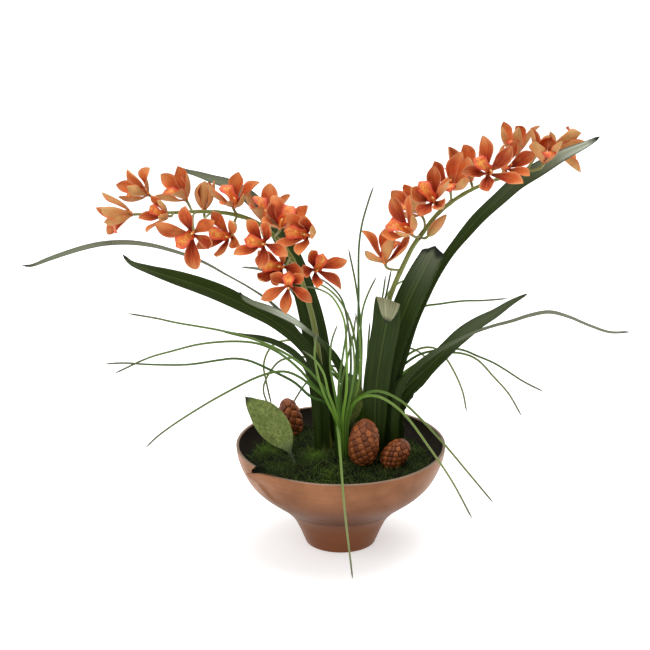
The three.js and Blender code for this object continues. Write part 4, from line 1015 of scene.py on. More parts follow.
def broad_leaf(leaf, columns=25):
    """A wide blade whose side veins are pressed in: with q = 9·along − 1.3·|c|, the surface
    sinks by 0.1·exp(−(distance of q to a whole number / 0.09)²). On the stalk it doesn't."""
    path, side, normal, shares = leaf_path(leaf, 1.2)
    width = smooth(leaf["width"], shares)
    width = width * tip_taper(shares, path.length, 5, 0.004)
    half = np.maximum(width / 2, 0.3)
    wide = np.clip(half[:, None] / 8, 0, 1)
    c = np.linspace(-1, 1, columns)
    q = 9 * shares[:, None] - 1.3 * np.abs(c)
    vein = np.exp(-((np.abs(q - np.round(q)) / 0.09) ** 2)) * wide
    rise = leaf["fold"] * width[:, None] * (np.sqrt(c**2 + 0.01) - 0.1)
    rise = rise - 0.1 * vein - 0.35 * np.exp(-((c / 0.05) ** 2)) * wide
    wave = np.sin(shares[:, None] * 17 + c) * np.abs(c) ** 3
    rise = rise + 0.8 * wave * np.clip(half[:, None] / 10, 0, 1)
    thick = 0.4 + 0.3 * (1 - np.abs(c)) + np.zeros_like(rise)
    vein = np.concatenate([vein, vein[:, ::-1]], axis=1)
    return blade(path.centre, side, normal, half, rise, thick, shares, vein=vein)


def broad_leaf_material():
    """Light mottled green with darker blotches, faint darker veins, a dark tip, and a dark foot
    that is partly the stalk's own colour and partly painted shade on the lower leaf.
    """
    paint = new_paint("broad_leaf_cloth", Roughness=0.55, Specular_IOR_Level=0.35)
    where = paint.place()
    along = paint.along()
    mottle = paint.noise(where, 330.0, 5.0, 0.75)
    clouds = paint.noise(where, 70.0, 3.0)
    light = paint.over((84, 102, 38), (164, 176, 98), mottle, 0.36, 0.66)
    light = paint.over(light, (92, 112, 46), clouds, 0.4, 0.7, 0.5)
    veined = paint.mixed(paint.maths("MULTIPLY", paint.mark("vein"), 0.14), light, (60, 84, 32))
    lower = paint.mixed(mottle, (104, 122, 70), (138, 152, 98))
    sided = paint.mixed(paint.mark("under"), veined, lower)
    # Dark foot: the stalk's own dark green, and painted shade over the lower leaf up to 0.3 of its
    # length.
    foot = paint.over(sided, (34, 48, 20), along, 0.3, 0.12)
    tip = paint.over(foot, (34, 44, 24), along, 0.9, 0.96)
    return paint.finish(tip, mottle, 0.0003, 0.6)


broad_cloth = broad_leaf_material()
for leaf in BROAD_LEAVES:
    make_piece("mottled_" + leaf["name"], [broad_leaf(leaf)], [broad_cloth], leaf["name"])
print("broad leaves:", len(BROAD_LEAVES))

# %% [markdown]
# ## Grass
#
# The grass is moulded plastic: narrow channels that leave one plug and arch over on all sides,
# fresh green low down and olive to grey at the tips. A blade is a hollow strip, five points
# across, that narrows towards its tip.

# %% Routes of the grass
FRONT_BLADES = [
    [(-1, 110, -24), (-3, 113.5, -34), (-1, 95, -90), (1.5, 60, -112), (4, 30, -117), (8, -6, -119),
     (12, -40, -120)],
    [(6, 120, -20), (15, 137, -24), (30, 143, -38), (45, 139, -50), (64, 124, -58), (88, 92, -66),
     (111, 58, -72), (131.5, 20, -78)],
    [(9, 124, -20), (22, 143, -24), (38, 147.5, -30), (60, 138, -36), (82, 118, -40), (105, 93, -44),
     (130, 63, -48), (152.5, 36, -52)],
    [(-8, 130, -24), (-30, 153, -32), (-42, 162, -38), (-56, 167, -44), (-76, 164, -50),
     (-115, 145.5, -56), (-160, 118.5, -62), (-183, 102, -66), (-194.5, 91, -68)],
    [(-10, 132, -22), (-30, 142, -30), (-46, 156, -36), (-69, 168, -42), (-92, 178, -48),
     (-107, 180, -52), (-121, 178.5, -56), (-152, 174, -60), (-190, 174, -64), (-217, 175.5, -68),
     (-236, 174.5, -70)],
    [(-8, 134, -20), (-26, 152, -26), (-42, 170, -32), (-62, 186, -38), (-81, 194.5, -42),
     (-99, 197, -46), (-122, 196.5, -50), (-145, 193.5, -54), (-168, 187.5, -58), (-191, 181, -62),
     (-226, 165, -66)],
    [(-6, 130, -22), (-20, 155, -30), (-40, 175, -36), (-64, 190, -42), (-92, 201, -47),
     (-122, 208.5, -50), (-165, 216, -54), (-183, 220, -56), (-212.5, 225, -58)],
    [(4, 120, -18), (13, 160, -20), (17, 198, -20), (18, 240, -20), (18.5, 292, -20), (21.5, 314, -20),
     (27, 334, -20), (33, 352, -20)],
    [(3, 118, -20), (9, 150, -26), (10, 190, -30), (6, 222, -32), (1, 240, -34), (-9, 252, -36),
     (-20, 260, -38)],
    [(2, 118, -22), (6, 150, -30), (6, 185, -34), (4, 216, -37), (-2, 232, -41), (-11, 244, -45),
     (-24, 250, -48), (-36, 252, -50)],
    [(6, 120, -17), (14, 150, -18), (19, 190, -16), (22, 228, -12), (28, 246, -10), (36, 262, -8)],
    [(0, 118, -22), (-2, 150, -30), (2, 180, -36), (6, 206, -40), (8, 226, -43)],
    [(2, 119, -20), (0, 146, -26), (6, 176, -30), (13, 204, -32), (15, 222, -33)],
    [(-3, 118, -23), (-12, 145, -32), (-17, 165, -38), (-27, 180, -44), (-38, 188, -48)],
    [(-4, 116, -22), (-14, 138, -30), (-22, 160, -38), (-26, 184, -42), (-24, 206, -46)],
    [(8, 118, -18), (16, 145, -20), (20, 170, -22), (19, 200, -24), (15, 226, -26)],
    [(-1, 118, -23), (-6, 148, -30), (-10, 172, -36), (-9, 196, -40), (-3, 214, -43)],
    [(5, 118, -21), (10, 142, -27), (14, 168, -31), (12, 196, -34), (7, 212, -37)],
]
BACK_BLADES = [
    [(34, 150, 38), (55, 172, 42), (70, 185.5, 44), (83.5, 191, 46), (95, 190, 48), (104.5, 181.5, 50),
     (114, 166, 52), (122, 147, 54), (126, 127, 56)],
    [(34, 148, 40), (52, 162.5, 45), (66, 176, 48), (80, 184.5, 50), (95, 188, 52), (112, 190, 54),
     (124, 188, 56), (137, 182.5, 58), (152.5, 176, 60), (166, 168, 62), (183, 157, 64),
     (203, 147, 66)],
    [(36, 146, 42), (56, 160, 48), (72, 172, 52), (92, 183, 56), (110, 186, 60), (126, 184, 62),
     (138, 178, 64), (152.5, 162.5, 66), (168, 145, 68), (181, 122.5, 70)],
    [(32, 150, 42), (46, 180, 50), (62, 210, 54), (81, 231, 56), (99, 234.5, 58), (122, 237.5, 60),
     (143, 238, 62), (167, 240, 64)],
    [(28, 150, 38), (34, 190, 38), (39, 225, 38), (43, 248, 38), (45, 263, 38)],
    [(30, 150, 40), (38, 190, 42), (42, 225, 43), (47, 250, 44), (51, 269.5, 45)],
    [(25, 150, 36), (27, 180, 35), (28, 200, 34), (29.5, 217, 33)],
    [(34, 146, 38), (50, 166, 44), (58, 184, 46), (65, 200, 47)],
    [(12, 140, 46), (-8, 165, 58), (-28, 180, 68), (-47, 181, 76), (-60, 178, 82), (-68, 170, 86),
     (-75, 158, 88), (-77, 148, 89), (-73, 136, 90), (-67, 128, 90)],
    [(10, 144, 48), (-10, 172, 62), (-26, 190, 72), (-46, 198, 80), (-60, 197, 87), (-69, 192, 92),
     (-75, 182, 96), (-77, 171, 98), (-75, 160, 99), (-72, 146, 100), (-69, 134, 101)],
    [(20, 150, 48), (16, 190, 60), (8, 222, 72), (-6, 244, 86), (-26, 256, 102), (-50, 252, 118)],
    [(30, 146, 50), (44, 176, 66), (58, 190, 84), (76, 188, 104), (96, 170, 124)],
    [(24, 150, 50), (30, 196, 62), (40, 232, 76), (56, 254, 94), (78, 262, 112)],
    [(14, 144, 52), (2, 168, 70), (-14, 172, 92), (-34, 156, 114), (-52, 128, 128)],
    [(26, 146, 56), (34, 166, 78), (40, 164, 102), (44, 144, 122), (48, 116, 134)],
    [(20, 150, 44), (21, 200, 50), (16, 250, 56), (8, 290, 62)],
]
GRASS = [
    dict(name="grass_front", root=(2, -14), blades=FRONT_BLADES),
    dict(name="grass_back", root=(22, 36), blades=BACK_BLADES),
]
PLUG_RADIUS = 8
FOOT_HALF_WIDTH = 1.7
TIP_HALF_WIDTH = 0.85
GRASS_SEED = 5


# %% Grass blades
def grass_blade(root, route, tone):
    """A channel along its route: the half width goes from FOOT_HALF_WIDTH to TIP_HALF_WIDTH as
    along^0.8, and the edges are raised by 0.3 times that."""
    points = seen(route)
    lean = points[0, :2] - root
    reach = np.linalg.norm(lean)
    lean = lean * min(1, PLUG_RADIUS * 0.62 / max(reach, 1e-6))
    foot = [root[0] + lean[0], root[1] + lean[1], STAKE_TOP - 6]
    points = np.vstack([foot, points])
    path, shares = stations(points, 5)
    turned = np.array([0, -1, 0.35]) + 0.3 * np.sin(5 * tone + 4 * shares)[:, None] * [1, 0, 0]
    side, normal = ribbon_frame(path.tangent, turned)
    half = FOOT_HALF_WIDTH + (TIP_HALF_WIDTH - FOOT_HALF_WIDTH) * shares**0.8
    half = half * tip_taper(shares, path.length, 6, 0.1)
    c = np.linspace(-1, 1, 5)
    rise = 0.3 * half[:, None] * (c**2)
    thick = np.full_like(rise, 0.42) * np.clip(half / 0.6, 0.5, 1)[:, None]
    upright = max(0, (points[-1, 2] - points[0, 2]) / path.length)
    return blade(path.centre, side, normal, half, rise, thick, shares, tone=tone, upright=upright)


def grass_plug(root):
    """The moulded plug that the blades leave, mostly under the moss."""
    heights = [STAKE_BOTTOM + 6, STAKE_BOTTOM + 8, 88, 91, 92.6, 93]
    radius = PLUG_RADIUS * np.array([0.85, 1, 1, 0.9, 0.6, 0.1])
    return upright_tube(root, heights, radius, 20, tone=0.1, under=0.0)


def grass_material():
    """Fresh green plastic that turns olive and then grey towards the tip, least on upright
    blades, with a dark foot and a darker line in the channel."""
    paint = new_paint("grass_plastic", Roughness=0.4, Specular_IOR_Level=0.3)
    along = paint.along()
    low = paint.mixed(paint.mark("tone"), (48, 80, 18), (108, 148, 46))
    high = paint.mixed(paint.mark("tone"), (90, 106, 54), (140, 150, 92))
    held = paint.maths("SUBTRACT", 1.0, paint.maths("MULTIPLY", paint.mark("upright"), 0.75))
    aged = paint.maths("MULTIPLY", paint.between(along, 0.3, 0.75), held)
    body = paint.mixed(aged, low, high)
    foot = paint.over(body, (34, 62, 14), along, 0.14, 0.0)
    lined = paint.over(foot, (44, 74, 26), paint.off_middle(), 0.16, 0.0, 0.35)
    tip = paint.over(lined, (96, 98, 78), along, 0.85, 1.0)
    return paint.finish(tip, paint.noise(paint.place((9, 1, 1), "UV"), 1.0), 0.0001)


grass_plastic = grass_material()
rng = np.random.default_rng(GRASS_SEED)
for tuft in GRASS:
    root = np.array(tuft["root"], float)
    skins = [grass_blade(root, route, rng.random()) for route in tuft["blades"]]
    skins.append(grass_plug(root))
    make_piece("tuft_" + tuft["name"], skins, [grass_plastic], tuft["name"])
print("grass tufts:", len(GRASS), "with", sum(len(tuft["blades"]) for tuft in GRASS), "blades")

# %% [markdown]
# ## Cones
#
# A little cone's scales sit at the golden angle, 137.5 degrees on from each other, so that they
# pack evenly over the oval. Here the scale centres are placed by that rule, and each point of the
# surface measures how far the nearest and the second nearest centre are. Where the two are equal
# there is a seam, and away from it the scale swells.

# %% Cone surface
GOLDEN_ANGLE = pi * (3 - 5**0.5)
PACKING = 1.12
TONE_STEP = 12.9898


def cone_shape(share):
    """Radius of the egg shape at a share of its length: (1 − |2·share^0.86 − 1|^2.3)^0.52."""
    return (1 - np.abs(2 * np.clip(share, 1e-3, 1 - 1e-3) ** 0.86 - 1) ** 2.3) ** 0.52


def cone_surface(cone, share, angle):
    """Points of the smooth oval, and the outward direction round its axis."""
    foot, tip = seen([cone["foot"], cone["tip"]])
    along = unit(tip - foot)
    side, normal = ribbon_frame(along[None], np.array([[0, 1.0, 0]]))
    spoke = -np.cos(angle)[..., None] * side[0] + np.sin(angle)[..., None] * normal[0]
    centre = foot + share[..., None] * (tip - foot)
    return centre, spoke, cone_shape(share) * cone["radius"]


def cone_skin(cone, rows=90, columns=120):
    """The egg, raised where a scale swells: 1.5·(1 − exp(−seam / 0.8)) − 0.35·(distance to the
    scale's centre / half its size)²."""
    turns = 2 * pi * np.arange(columns) / columns
    share, angle = np.meshgrid(bunched(0.03, 0.985, rows), turns, indexing="ij")
    centre, spoke, radius = cone_surface(cone, share, angle)
    smooth_points = centre + radius[..., None] * spoke
    length = np.linalg.norm(np.diff(seen([cone["foot"], cone["tip"]]), axis=0))
    fine = np.linspace(0, 1, 400)
    area = np.cumsum(cone_shape(fine))
    total = 2 * pi * cone["radius"] * length * area[-1] / len(fine)
    count = int(total / cone["scale"] ** 2 * PACKING)
    spots = np.interp((np.arange(count) + 0.5) / count, area / area[-1], fine)
    at, out, reach = cone_surface(cone, spots, np.arange(count) * GOLDEN_ANGLE)
    scales = at + reach[:, None] * out
    gap = np.sqrt(((smooth_points.reshape(-1, 1, 3) - scales) ** 2).sum(-1))
    near = np.partition(gap, 1, axis=1)[:, :2]
    seam = (near[:, 1] - near[:, 0]).reshape(share.shape)
    nearest = near[:, 0].reshape(share.shape)
    swell = 1 - np.exp(-seam / 0.8)
    relief = 1.5 * swell - 0.35 * (nearest / (cone["scale"] * 0.5)) ** 2
    taper = np.clip(radius / cone["radius"] * 1.4, 0.3, 1)
    rings = centre + (radius * 0.93 + (relief - 0.7) * taper)[..., None] * spoke
    tone = np.sin(np.argmin(gap, axis=1) * TONE_STEP).reshape(share.shape) * 0.5 + 0.5
    return ring_skin(rings, angle / (2 * pi), share, seam=swell, tone=tone)


def cone_pick(cone):
    """The wire pick that holds a cone in the foam."""
    foot = seen([cone["foot"]])[0]
    heights = [STAKE_BOTTOM + 1, STAKE_BOTTOM + 3, foot[2] + 4]
    return upright_tube(cone["pick"], heights, [0.3, 1, 1], 10, seam=0.2, tone=0.5)


def cone_material():
    """Glossy orange-brown scales, dark in the seams and different from scale to scale."""
    paint = new_paint(
        "varnished_cone", Roughness=0.5, Specular_IOR_Level=0.4, Coat_Weight=0.08, Coat_Roughness=0.3
    )
    grain = paint.noise(paint.place(), 420.0, 3.0)
    brown = paint.mixed(paint.mark("tone"), (118, 57, 20), (178, 98, 44))
    wear_and_highlight = paint.over(brown, (88, 36, 15), grain, 0.45, 0.8, 0.7)
    dark = paint.over(wear_and_highlight, (48, 20, 9), paint.mark("seam"), 0.6, 0.2)
    return paint.finish(dark, grain, 0.0002, 0.5)


cone_brown = cone_material()
for cone in CONES:
    skins = [cone_skin(cone), cone_pick(cone)]
    make_piece("scaled_" + cone["name"], skins, [cone_brown], cone["name"])
print("cones:", len(CONES))

# %% [markdown]
# ## Blooms
#
# A cymbidium bloom has five tepals, a lip and a column. The tepals are oblong and softly cupped:
# three sepals and, a little further in, two petals. Here each is a blade along an arc, which
# leaves the hub at one slope and reaches its point at another, so that one number from 0, a cup,
# to 1, a flat star, opens the bloom. Small random differences in twist, sway and curl keep them
# from looking stamped.

# %% Places of the blooms
# at: across, up and back of the hub. face: the way it looks, to the right, up and toward the
# viewer. lip: clock angle of the lip in degrees anticlockwise from the right. open: from 0, a
# cup, to 1, a star. spread: how much more than that each tepal opens, from the top one round.
Bloom = namedtuple("Bloom", "at face lip open size spread", defaults=[(0, 0, 0, 0, 0)])
BLOOMS = dict(
    left=[
        Bloom((-209, 324, -14), (-1, -0.03, 0.3), 265, 0.15, 1.12, (0.15, 0, 0, 0.4, 0)),
        Bloom((-193, 344, 14), (-0.75, 0.35, 0.5), 190, 0.25, 1, (0.12, 0, 0, 0, 0)),
        Bloom((-174, 323, -34), (-0.65, 0.15, 0.75), 150, 0.4, 0.85),
        Bloom((-155, 339, 27), (-0.5, 0.7, 0.5), 172, 0.32, 1.08, (-0.05, 0.1, 0, -0.1, -0.05)),
        Bloom((-148, 304.5, -54), (-0.15, -0.1, 1), 220, 0.78, 1.08, (-0.05, -0.1, 0.15, 0.05, -0.1)),
        Bloom((-136, 329, 34), (0.05, 0.95, 0.15), 60, 0.06, 0.95),
        Bloom((-111, 302.5, -32), (-0.4, -0.05, 0.9), 163, 0.6, 1, (-0.2, -0.1, 0.2, 0.15, 0)),
        Bloom((-107, 332, 6), (0, 0.75, 0.6), 120, 0.4, 1.1, (0, 0.1, 0.2, 0, 0)),
        Bloom((-78, 318, 23), (0.15, 0.8, 0.4), 100, 0.35, 1.2, (0, 0.2, 0, 0.1, 0)),
        Bloom((-77, 295, -62), (-0.2, -0.02, 0.97), 165, 0.58, 1, (0.05, 0, 0, -0.1, 0)),
        Bloom((-60, 311, -15), (0.2, 0.7, 0.6), 60, 0.4, 1.12, (0.1, 0, 0.15, 0, 0.1)),
        Bloom((-33, 303, -48), (-0.4, 0.1, 0.9), 170, 0.3, 1.1, (0, 0, 0.1, 0.1, 0)),
        Bloom((-25.5, 269, -10), (0.3, 0.05, 0.95), 74, 0.7, 0.95, (-0.3, -0.1, -0.2, 0.15, 0)),
        Bloom((-58, 271.5, -26), (-0.45, 0.05, 0.9), 175, 0.45, 1.05, (0.3, 0, 0.1, 0, 0)),
        Bloom((-52, 253, -60), (0, -0.1, 1), 90, 0.6, 0.9, (0.15, 0.15, -0.1, -0.1, 0.05)),
    ],
    right=[
        Bloom((45, 276, -14), (0, 0.85, 0.45), 60, 0.2, 1.15, (0.4, 0.1, 0, 0.2, 0)),
        Bloom((70, 305, -28), (-0.55, 0.5, 0.65), 165, 0.4, 1.18, (0, 0, 0, 0.15, 0.1)),
        Bloom((80, 324, 16), (-0.6, 0.65, 0.45), 180, 0.35, 1.18),
        Bloom((93, 337, -40), (-0.2, 0.4, 0.9), 130, 0.38, 1.12, (0, 0.2, 0, 0.2, 0)),
        Bloom((110, 349, -5), (-0.05, 0.65, 0.75), 265, 0.45, 1.14),
        Bloom((130, 358, 34), (-0.3, 0.8, 0.4), 200, 0.3, 1.18),
        Bloom((147, 365, -38), (0.1, 0.3, 0.95), 150, 0.55, 1.1, (0.3, 0.1, 0, 0.2, 0)),
        Bloom((165, 370, -8), (0.35, 0.35, 0.8), 200, 0.4, 1),
        Bloom((176, 384, 12), (-0.1, 0.95, 0.3), 270, 0.2, 1.1, (0, 0.15, 0, 0, 0.1)),
        Bloom((203, 376.5, -14), (0.1, 0.8, 0.5), 270, 0.2, 1.12, (0, 0, 0, 0.1, 0.1)),
        Bloom((214, 393, 42), (0.85, 0.1, -0.1), 100, 0.5, 1.08),
    ],
)
# turn: clock angle of a tepal in degrees from the top one. inset: how much steeper and further
# forward it leaves the hub.
TEPALS = [(0, 0), (66, 0.13), (131, 0.03), (229, 0.05), (294, 0.15)]
TEPAL_LENGTH = 32
TEPAL_WIDTH = 13.6
HUB_RADIUS = 2.7
HUB_HALF = 1.6
CLEARANCE = 0.35


def bloom_frame(bloom):
    """Hub and axes of a bloom: z the way it looks, y away from its lip, x = y × z."""
    z = view_direction(*bloom.face)
    angle = radians(bloom.lip)
    y = view_direction(cos(angle), sin(angle), 0)
    y = -unit(y - (y @ z) * z)
    return seen([bloom.at])[0], np.stack([np.cross(y, z), y, z])


# %% Tepals
def tepal(turn, inset, opening, size, rng, rows=22, columns=9):
    """A tepal on a curve whose slope goes from `low` to `high`. It stands length·Σcos(slope)
    out from the hub and length·Σsin(slope) forward, summed over the steps along it."""
    length = TEPAL_LENGTH * size * (1 + rng.normal(0, 0.035))
    low = 0.6 - 0.3 * opening + inset
    high = 2.05 - 2.15 * opening + rng.normal(0, 0.1)
    turn = radians(turn) + rng.normal(0, 0.05)
    shares = bunched(0.06, 0.97, rows)
    slope = low + (high - low) * shares + rng.normal(0.15, 0.42) * ease((shares - 0.55) / 0.45)
    step = np.diff(shares, prepend=0) * length
    out = np.cumsum(step * np.cos(slope)) + 0.8
    up = np.cumsum(step * np.sin(slope)) + 4 * inset - 0.3
    radial = np.array([sin(turn), cos(turn), 0])
    forward = np.array([0, 0, 1.0])
    flank = np.cross(radial, forward)
    sway = rng.normal(0, 0.08) * length * shares**2
    centre = out[:, None] * radial + up[:, None] * forward + sway[:, None] * flank
    level = -np.sin(slope)[:, None] * radial + np.cos(slope)[:, None] * forward
    twist = rng.normal(0, 0.42) * shares[:, None]
    normal = level * np.cos(twist) + flank * np.sin(twist)
    side = flank * np.cos(twist) - level * np.sin(twist)
    width = (1 - np.clip((shares - 0.7) / 0.3, 0, 1) ** 1.8) ** 0.75
    width = width * (0.15 + 0.85 * ease(shares / 0.68))
    half = np.maximum(TEPAL_WIDTH * size * (0.86 + 0.2 * rng.random()) * width / 2, 0.3)
    c = np.linspace(-1, 1, columns)
    cup = (0.9 - 0.4 * shares[:, None]) * (0.7 + 0.6 * rng.random())
    ripple = 0.13 * np.sin(8 * shares[:, None] + 6 * rng.random() + 1.5 * np.sign(c)) * np.abs(c) ** 3
    rise = half[:, None] * (cup * c**2 + ripple) - 0.25 * np.exp(-((c / 0.12) ** 2))
    thick = 0.3 + 0.35 * (1 - np.abs(c)) + np.zeros_like(rise)
    tone = np.full((len(shares), 1), rng.random())
    return blade(centre, side, normal, half, rise, thick, shares, tone=tone)


# %% [markdown]
# The lip runs forward under the column as a trough with raised sides, then spreads into a ruffled
# tongue that rolls down. Two keels run along its middle. The column is a short arched rod with a
# pale cap, and the whole bloom sits on a small hub.

# %% Lip, column and hub
LIP_ROUTE = [
    (0, -0.6, 0.6), (0, -2.2, 4.5), (0, -3.6, 8.6), (0, -5.6, 12.4), (0, -9, 15), (0, -13, 15.6),
    (0, -16, 14.4),
]
COLUMN_ROUTE = [(0, 1.4, -0.6), (0, 2.6, 3), (0, 2.6, 7), (0, 0.9, 10.6)]


def bloom_lip(size, rng, rows=24, columns=15):
    """A blade in the plane that halves the bloom. The sides stand up by the samples in `edge`,
    and the front edge waves as sin(15·share) times |c|⁴."""
    shares = bunched(0.04, 0.98, rows)
    path = follow(np.array(LIP_ROUTE) * size, shares)
    side = np.tile([-1.0, 0, 0], (len(shares), 1))
    normal = np.cross(side, path.tangent)
    half = smooth([1.2, 3.4, 4.8, 4.2, 5.6, 6.6, 5.6, 1.0], shares) * size
    edge = smooth([1.4, 3.6, 4.6, 2.2, 0.9, 0.2, -1.4, -1.2], shares) * size
    c = np.linspace(-1, 1, columns)
    front = ease((shares - 0.4) / 0.25)[:, None]
    wave = np.sin(15 * shares[:, None] + 5 * rng.random() + 1.5 * np.sign(c))
    ruffle = size * wave * np.abs(c) ** 4 * front
    keels = 0.6 * np.exp(-(((np.abs(c) - 0.24) / 0.1) ** 2)) * (1 - ease((shares[:, None] - 0.45) / 0.2))
    rise = edge[:, None] * np.abs(c) ** 1.7 + ruffle + keels
    thick = 0.35 + 0.3 * (1 - np.abs(c)) + np.zeros_like(rise)
    return blade(path.centre, side, normal, np.maximum(half, 0.5), rise, thick, shares, look=1)


def bloom_column(size):
    """A rod that arches over the lip, thickest at its rounded cap."""
    shares = np.linspace(0, 1, 14)
    path = follow(np.array(COLUMN_ROUTE) * size, shares)
    radius = smooth([1.3, 1.2, 1.2, 1.2, 1.35, 1.3, 0.4], shares) * size
    return tube(path.centre, path.tangent, radius, 12, shares, look=2, face=(1, 0, 0))


def bloom_hub():
    """The knob that the tepals and the stalk meet at, of one size in all blooms."""
    z = np.linspace(-1, 1, 7)
    radius = HUB_RADIUS * 0.85 * np.sqrt(np.clip(1 - z**2 * 0.92, 0.03, 1))
    return upright_tube((0, 0), z * HUB_HALF, radius, 14, tone=0.0, under=1.0)


def placed(skin, origin, axes):
    """The skin moved from a bloom's own axes to its place in the room."""
    return skin._replace(points=origin + skin.points @ axes)


def make_bloom(name, bloom, seed, materials, node_name):
    """All skins of one bloom as one piece."""
    rng = np.random.default_rng(seed)
    origin, axes = bloom_frame(bloom)
    opening = bloom.open + np.array(bloom.spread)
    skins = [tepal(*row, own, bloom.size, rng) for row, own in zip(TEPALS, opening)]
    skins += [bloom_lip(bloom.size, rng), bloom_column(bloom.size), bloom_hub()]
    return make_piece(name, [placed(s, origin, axes) for s in skins], materials, node_name)


# %% [markdown]
# The silk is orange-red inside, deeper towards the hub, where its own colour is deepened by
# painted shade in the cup, and peach along its edges, and tan to olive on its back. Fine streaks
# run along each tepal, and clouds make it deeper in some places and paler in others. The lip is
# yellow-orange, freckled with red, and the column is the same yellow with a pale cap.

# %% Silk
def petal_material():
    """Orange-red silk, painted along and across each tepal: a run from the dark hub, whose own deep
    red is deepened by painted shade in the cup, to the pale point, one tone to a tepal, streaks,
    deeper and paler patches, and a peach edge."""
    paint = new_paint("petal_silk", Roughness=0.6, Specular_IOR_Level=0.2)
    along = paint.along()
    tone = paint.mark("tone")
    streaks = paint.noise(paint.place((20, 1.6, 1), "UV"), 1.0, 4.0, 0.6)
    clouds = paint.noise(paint.place(), 110.0, 3.0)
    # The run's dark red at the hub is partly the silk's own colour and partly painted shade in the cup.
    run = paint.ramp(
        along, (0.0, (66, 8, 5)), (0.2, (120, 22, 9)), (0.44, (188, 62, 26)),
        (0.7, (220, 106, 50)), (1.0, (246, 174, 114)),
    )
    deep = paint.over(run, (140, 34, 14), tone, 0.45, 0.0, 0.65)
    deep = paint.over(deep, (234, 138, 76), tone, 0.55, 0.95, 0.6)
    striped = paint.over(deep, (240, 152, 84), streaks, 0.5, 0.66, 0.6)
    striped = paint.over(striped, (136, 30, 14), streaks, 0.46, 0.34, 0.5)
    offset = paint.maths("ADD", paint.off_middle(), paint.maths("MULTIPLY", clouds, 0.12))
    edge = paint.between(offset, 0.46, 0.58, 0.0, 0.75)
    patches = paint.noise(paint.place(), 36.0, 2.0)
    striped = paint.over(striped, (140, 38, 16), patches, 0.48, 0.36, 0.5)
    striped = paint.over(striped, (234, 160, 92), patches, 0.53, 0.66, 0.45)
    inner = paint.mixed(edge, striped, (248, 180, 132))
    back = paint.ramp(along, (0.0, (146, 76, 38)), (0.35, (194, 118, 66)), (1.0, (220, 166, 108)))
    back = paint.over(back, (200, 112, 62), clouds, 0.4, 0.65, 0.6)
    back = paint.over(back, (160, 144, 80), streaks, 0.42, 0.72, 0.75)
    back = paint.mixed(edge, back, (224, 104, 62))
    crinkles = paint.maths("MULTIPLY", paint.noise(paint.place(), 260.0), 1.5)
    crinkled = paint.maths("ADD", streaks, crinkles)
    return paint.finish(paint.mixed(paint.mark("under"), inner, back), crinkled, 0.0005)


def lip_material():
    """Yellow-orange with red freckles, redder at the ruffled edge."""
    paint = new_paint("lip_silk", Roughness=0.5, Sheen_Weight=0.1)
    offset = paint.off_middle()
    clouds = paint.noise(paint.place(), 260.0, 3.0)
    middle = paint.over((226, 104, 32), (244, 176, 72), clouds, 0.35, 0.65)
    base = paint.over(middle, (222, 84, 40), paint.along(), 0.72, 0.98, 0.8)
    freckles = paint.noise(paint.place((1, 1, 0.6)), 480.0, 3.0)
    spotted = paint.over(base, (204, 56, 22), freckles, 0.5, 0.66, 0.75)
    edged = paint.over(spotted, (222, 82, 36), offset, 0.16, 0.4)
    edged = paint.over(edged, (172, 36, 20), offset, 0.44, 0.48)
    back = paint.mixed(clouds, (206, 90, 44), (232, 138, 76))
    return paint.finish(paint.mixed(paint.mark("under"), edged, back), freckles, 0.0003, 0.6)


def column_material():
    """Yellow-orange rod with a pale cap."""
    paint = new_paint("column_silk", Roughness=0.45)
    clouds = paint.noise(paint.place(), 500.0)
    rod = paint.mixed(clouds, (214, 96, 36), (240, 156, 66))
    capped = paint.over(rod, (246, 206, 130), paint.along(), 0.84, 0.92)
    return paint.finish(capped, clouds, 0.0002)


bloom_materials = [petal_material(), lip_material(), column_material()]
for side_name, blooms in BLOOMS.items():
    for number, bloom in enumerate(blooms, 1):
        node_name = f"bloom_{side_name}_{number:02d}"
        seed = number * 7 + (side_name == "right") * 100
        make_bloom("silk_" + node_name, bloom, seed, bloom_materials, node_name)
print("blooms:", sum(len(blooms) for blooms in BLOOMS.values()))

# %% [markdown]
# ## Flower stems
#
# Each spike is one olive stem that thins towards its end, with a short stalk to the back of every
# bloom. A stalk leaves along the stem and arrives along the bloom's axis, which a Bezier curve
# does with two handles. Where a stalk leaves, the stem swells and carries a small dry bract.

# %% Stems, stalks and bracts
SPIKES = [
    dict(
        name="flower_stem_left", side="left", root=(-11, 13),
        route=[
            (-18, 139, 13), (-21.5, 178.5, 12), (-26.5, 214, 10), (-32, 236, 8), (-41, 263, 6),
            (-53, 287, 4), (-69, 305, 2), (-88, 318, 0), (-112, 325, -2), (-140, 327, -4),
            (-165, 326, -6), (-188, 326, -8),
        ],
    ),
    dict(
        name="flower_stem_right", side="right", root=(29, 9),
        route=[
            (36, 139, 9), (40.5, 188.5, 8), (47, 233, 6), (56, 258.5, 4), (64, 275.5, 3), (72, 291.5, 2),
            (82, 305.5, 1), (97.5, 325, 0), (117.5, 341, 0), (140, 353, 0), (168, 363, 0), (190, 370, 0),
        ],
        bud=dict(at=(87, 302, -9), tip=(106, 324, -10)),
    ),
]
STEM_RADII = [3.1, 3, 2.7, 2.3, 1.9, 1.3]
STALK_RADIUS = 1.15
BRACT_LENGTH = 6
STEM_SIDES = 14
STALK_SIDES = 9


def bezier(start, first, second, end, t):
    """(1−t)³·start + 3(1−t)²t·first + 3(1−t)t²·second + t³·end, and its direction."""
    t = np.asarray(t)[:, None]
    rest = 1 - t
    place_on = rest**3 * start + 3 * rest**2 * t * first + 3 * rest * t**2 * second + t**3 * end
    slope = rest**2 * (first - start) + 2 * rest * t * (second - first) + t**2 * (end - second)
    return place_on, unit(slope)


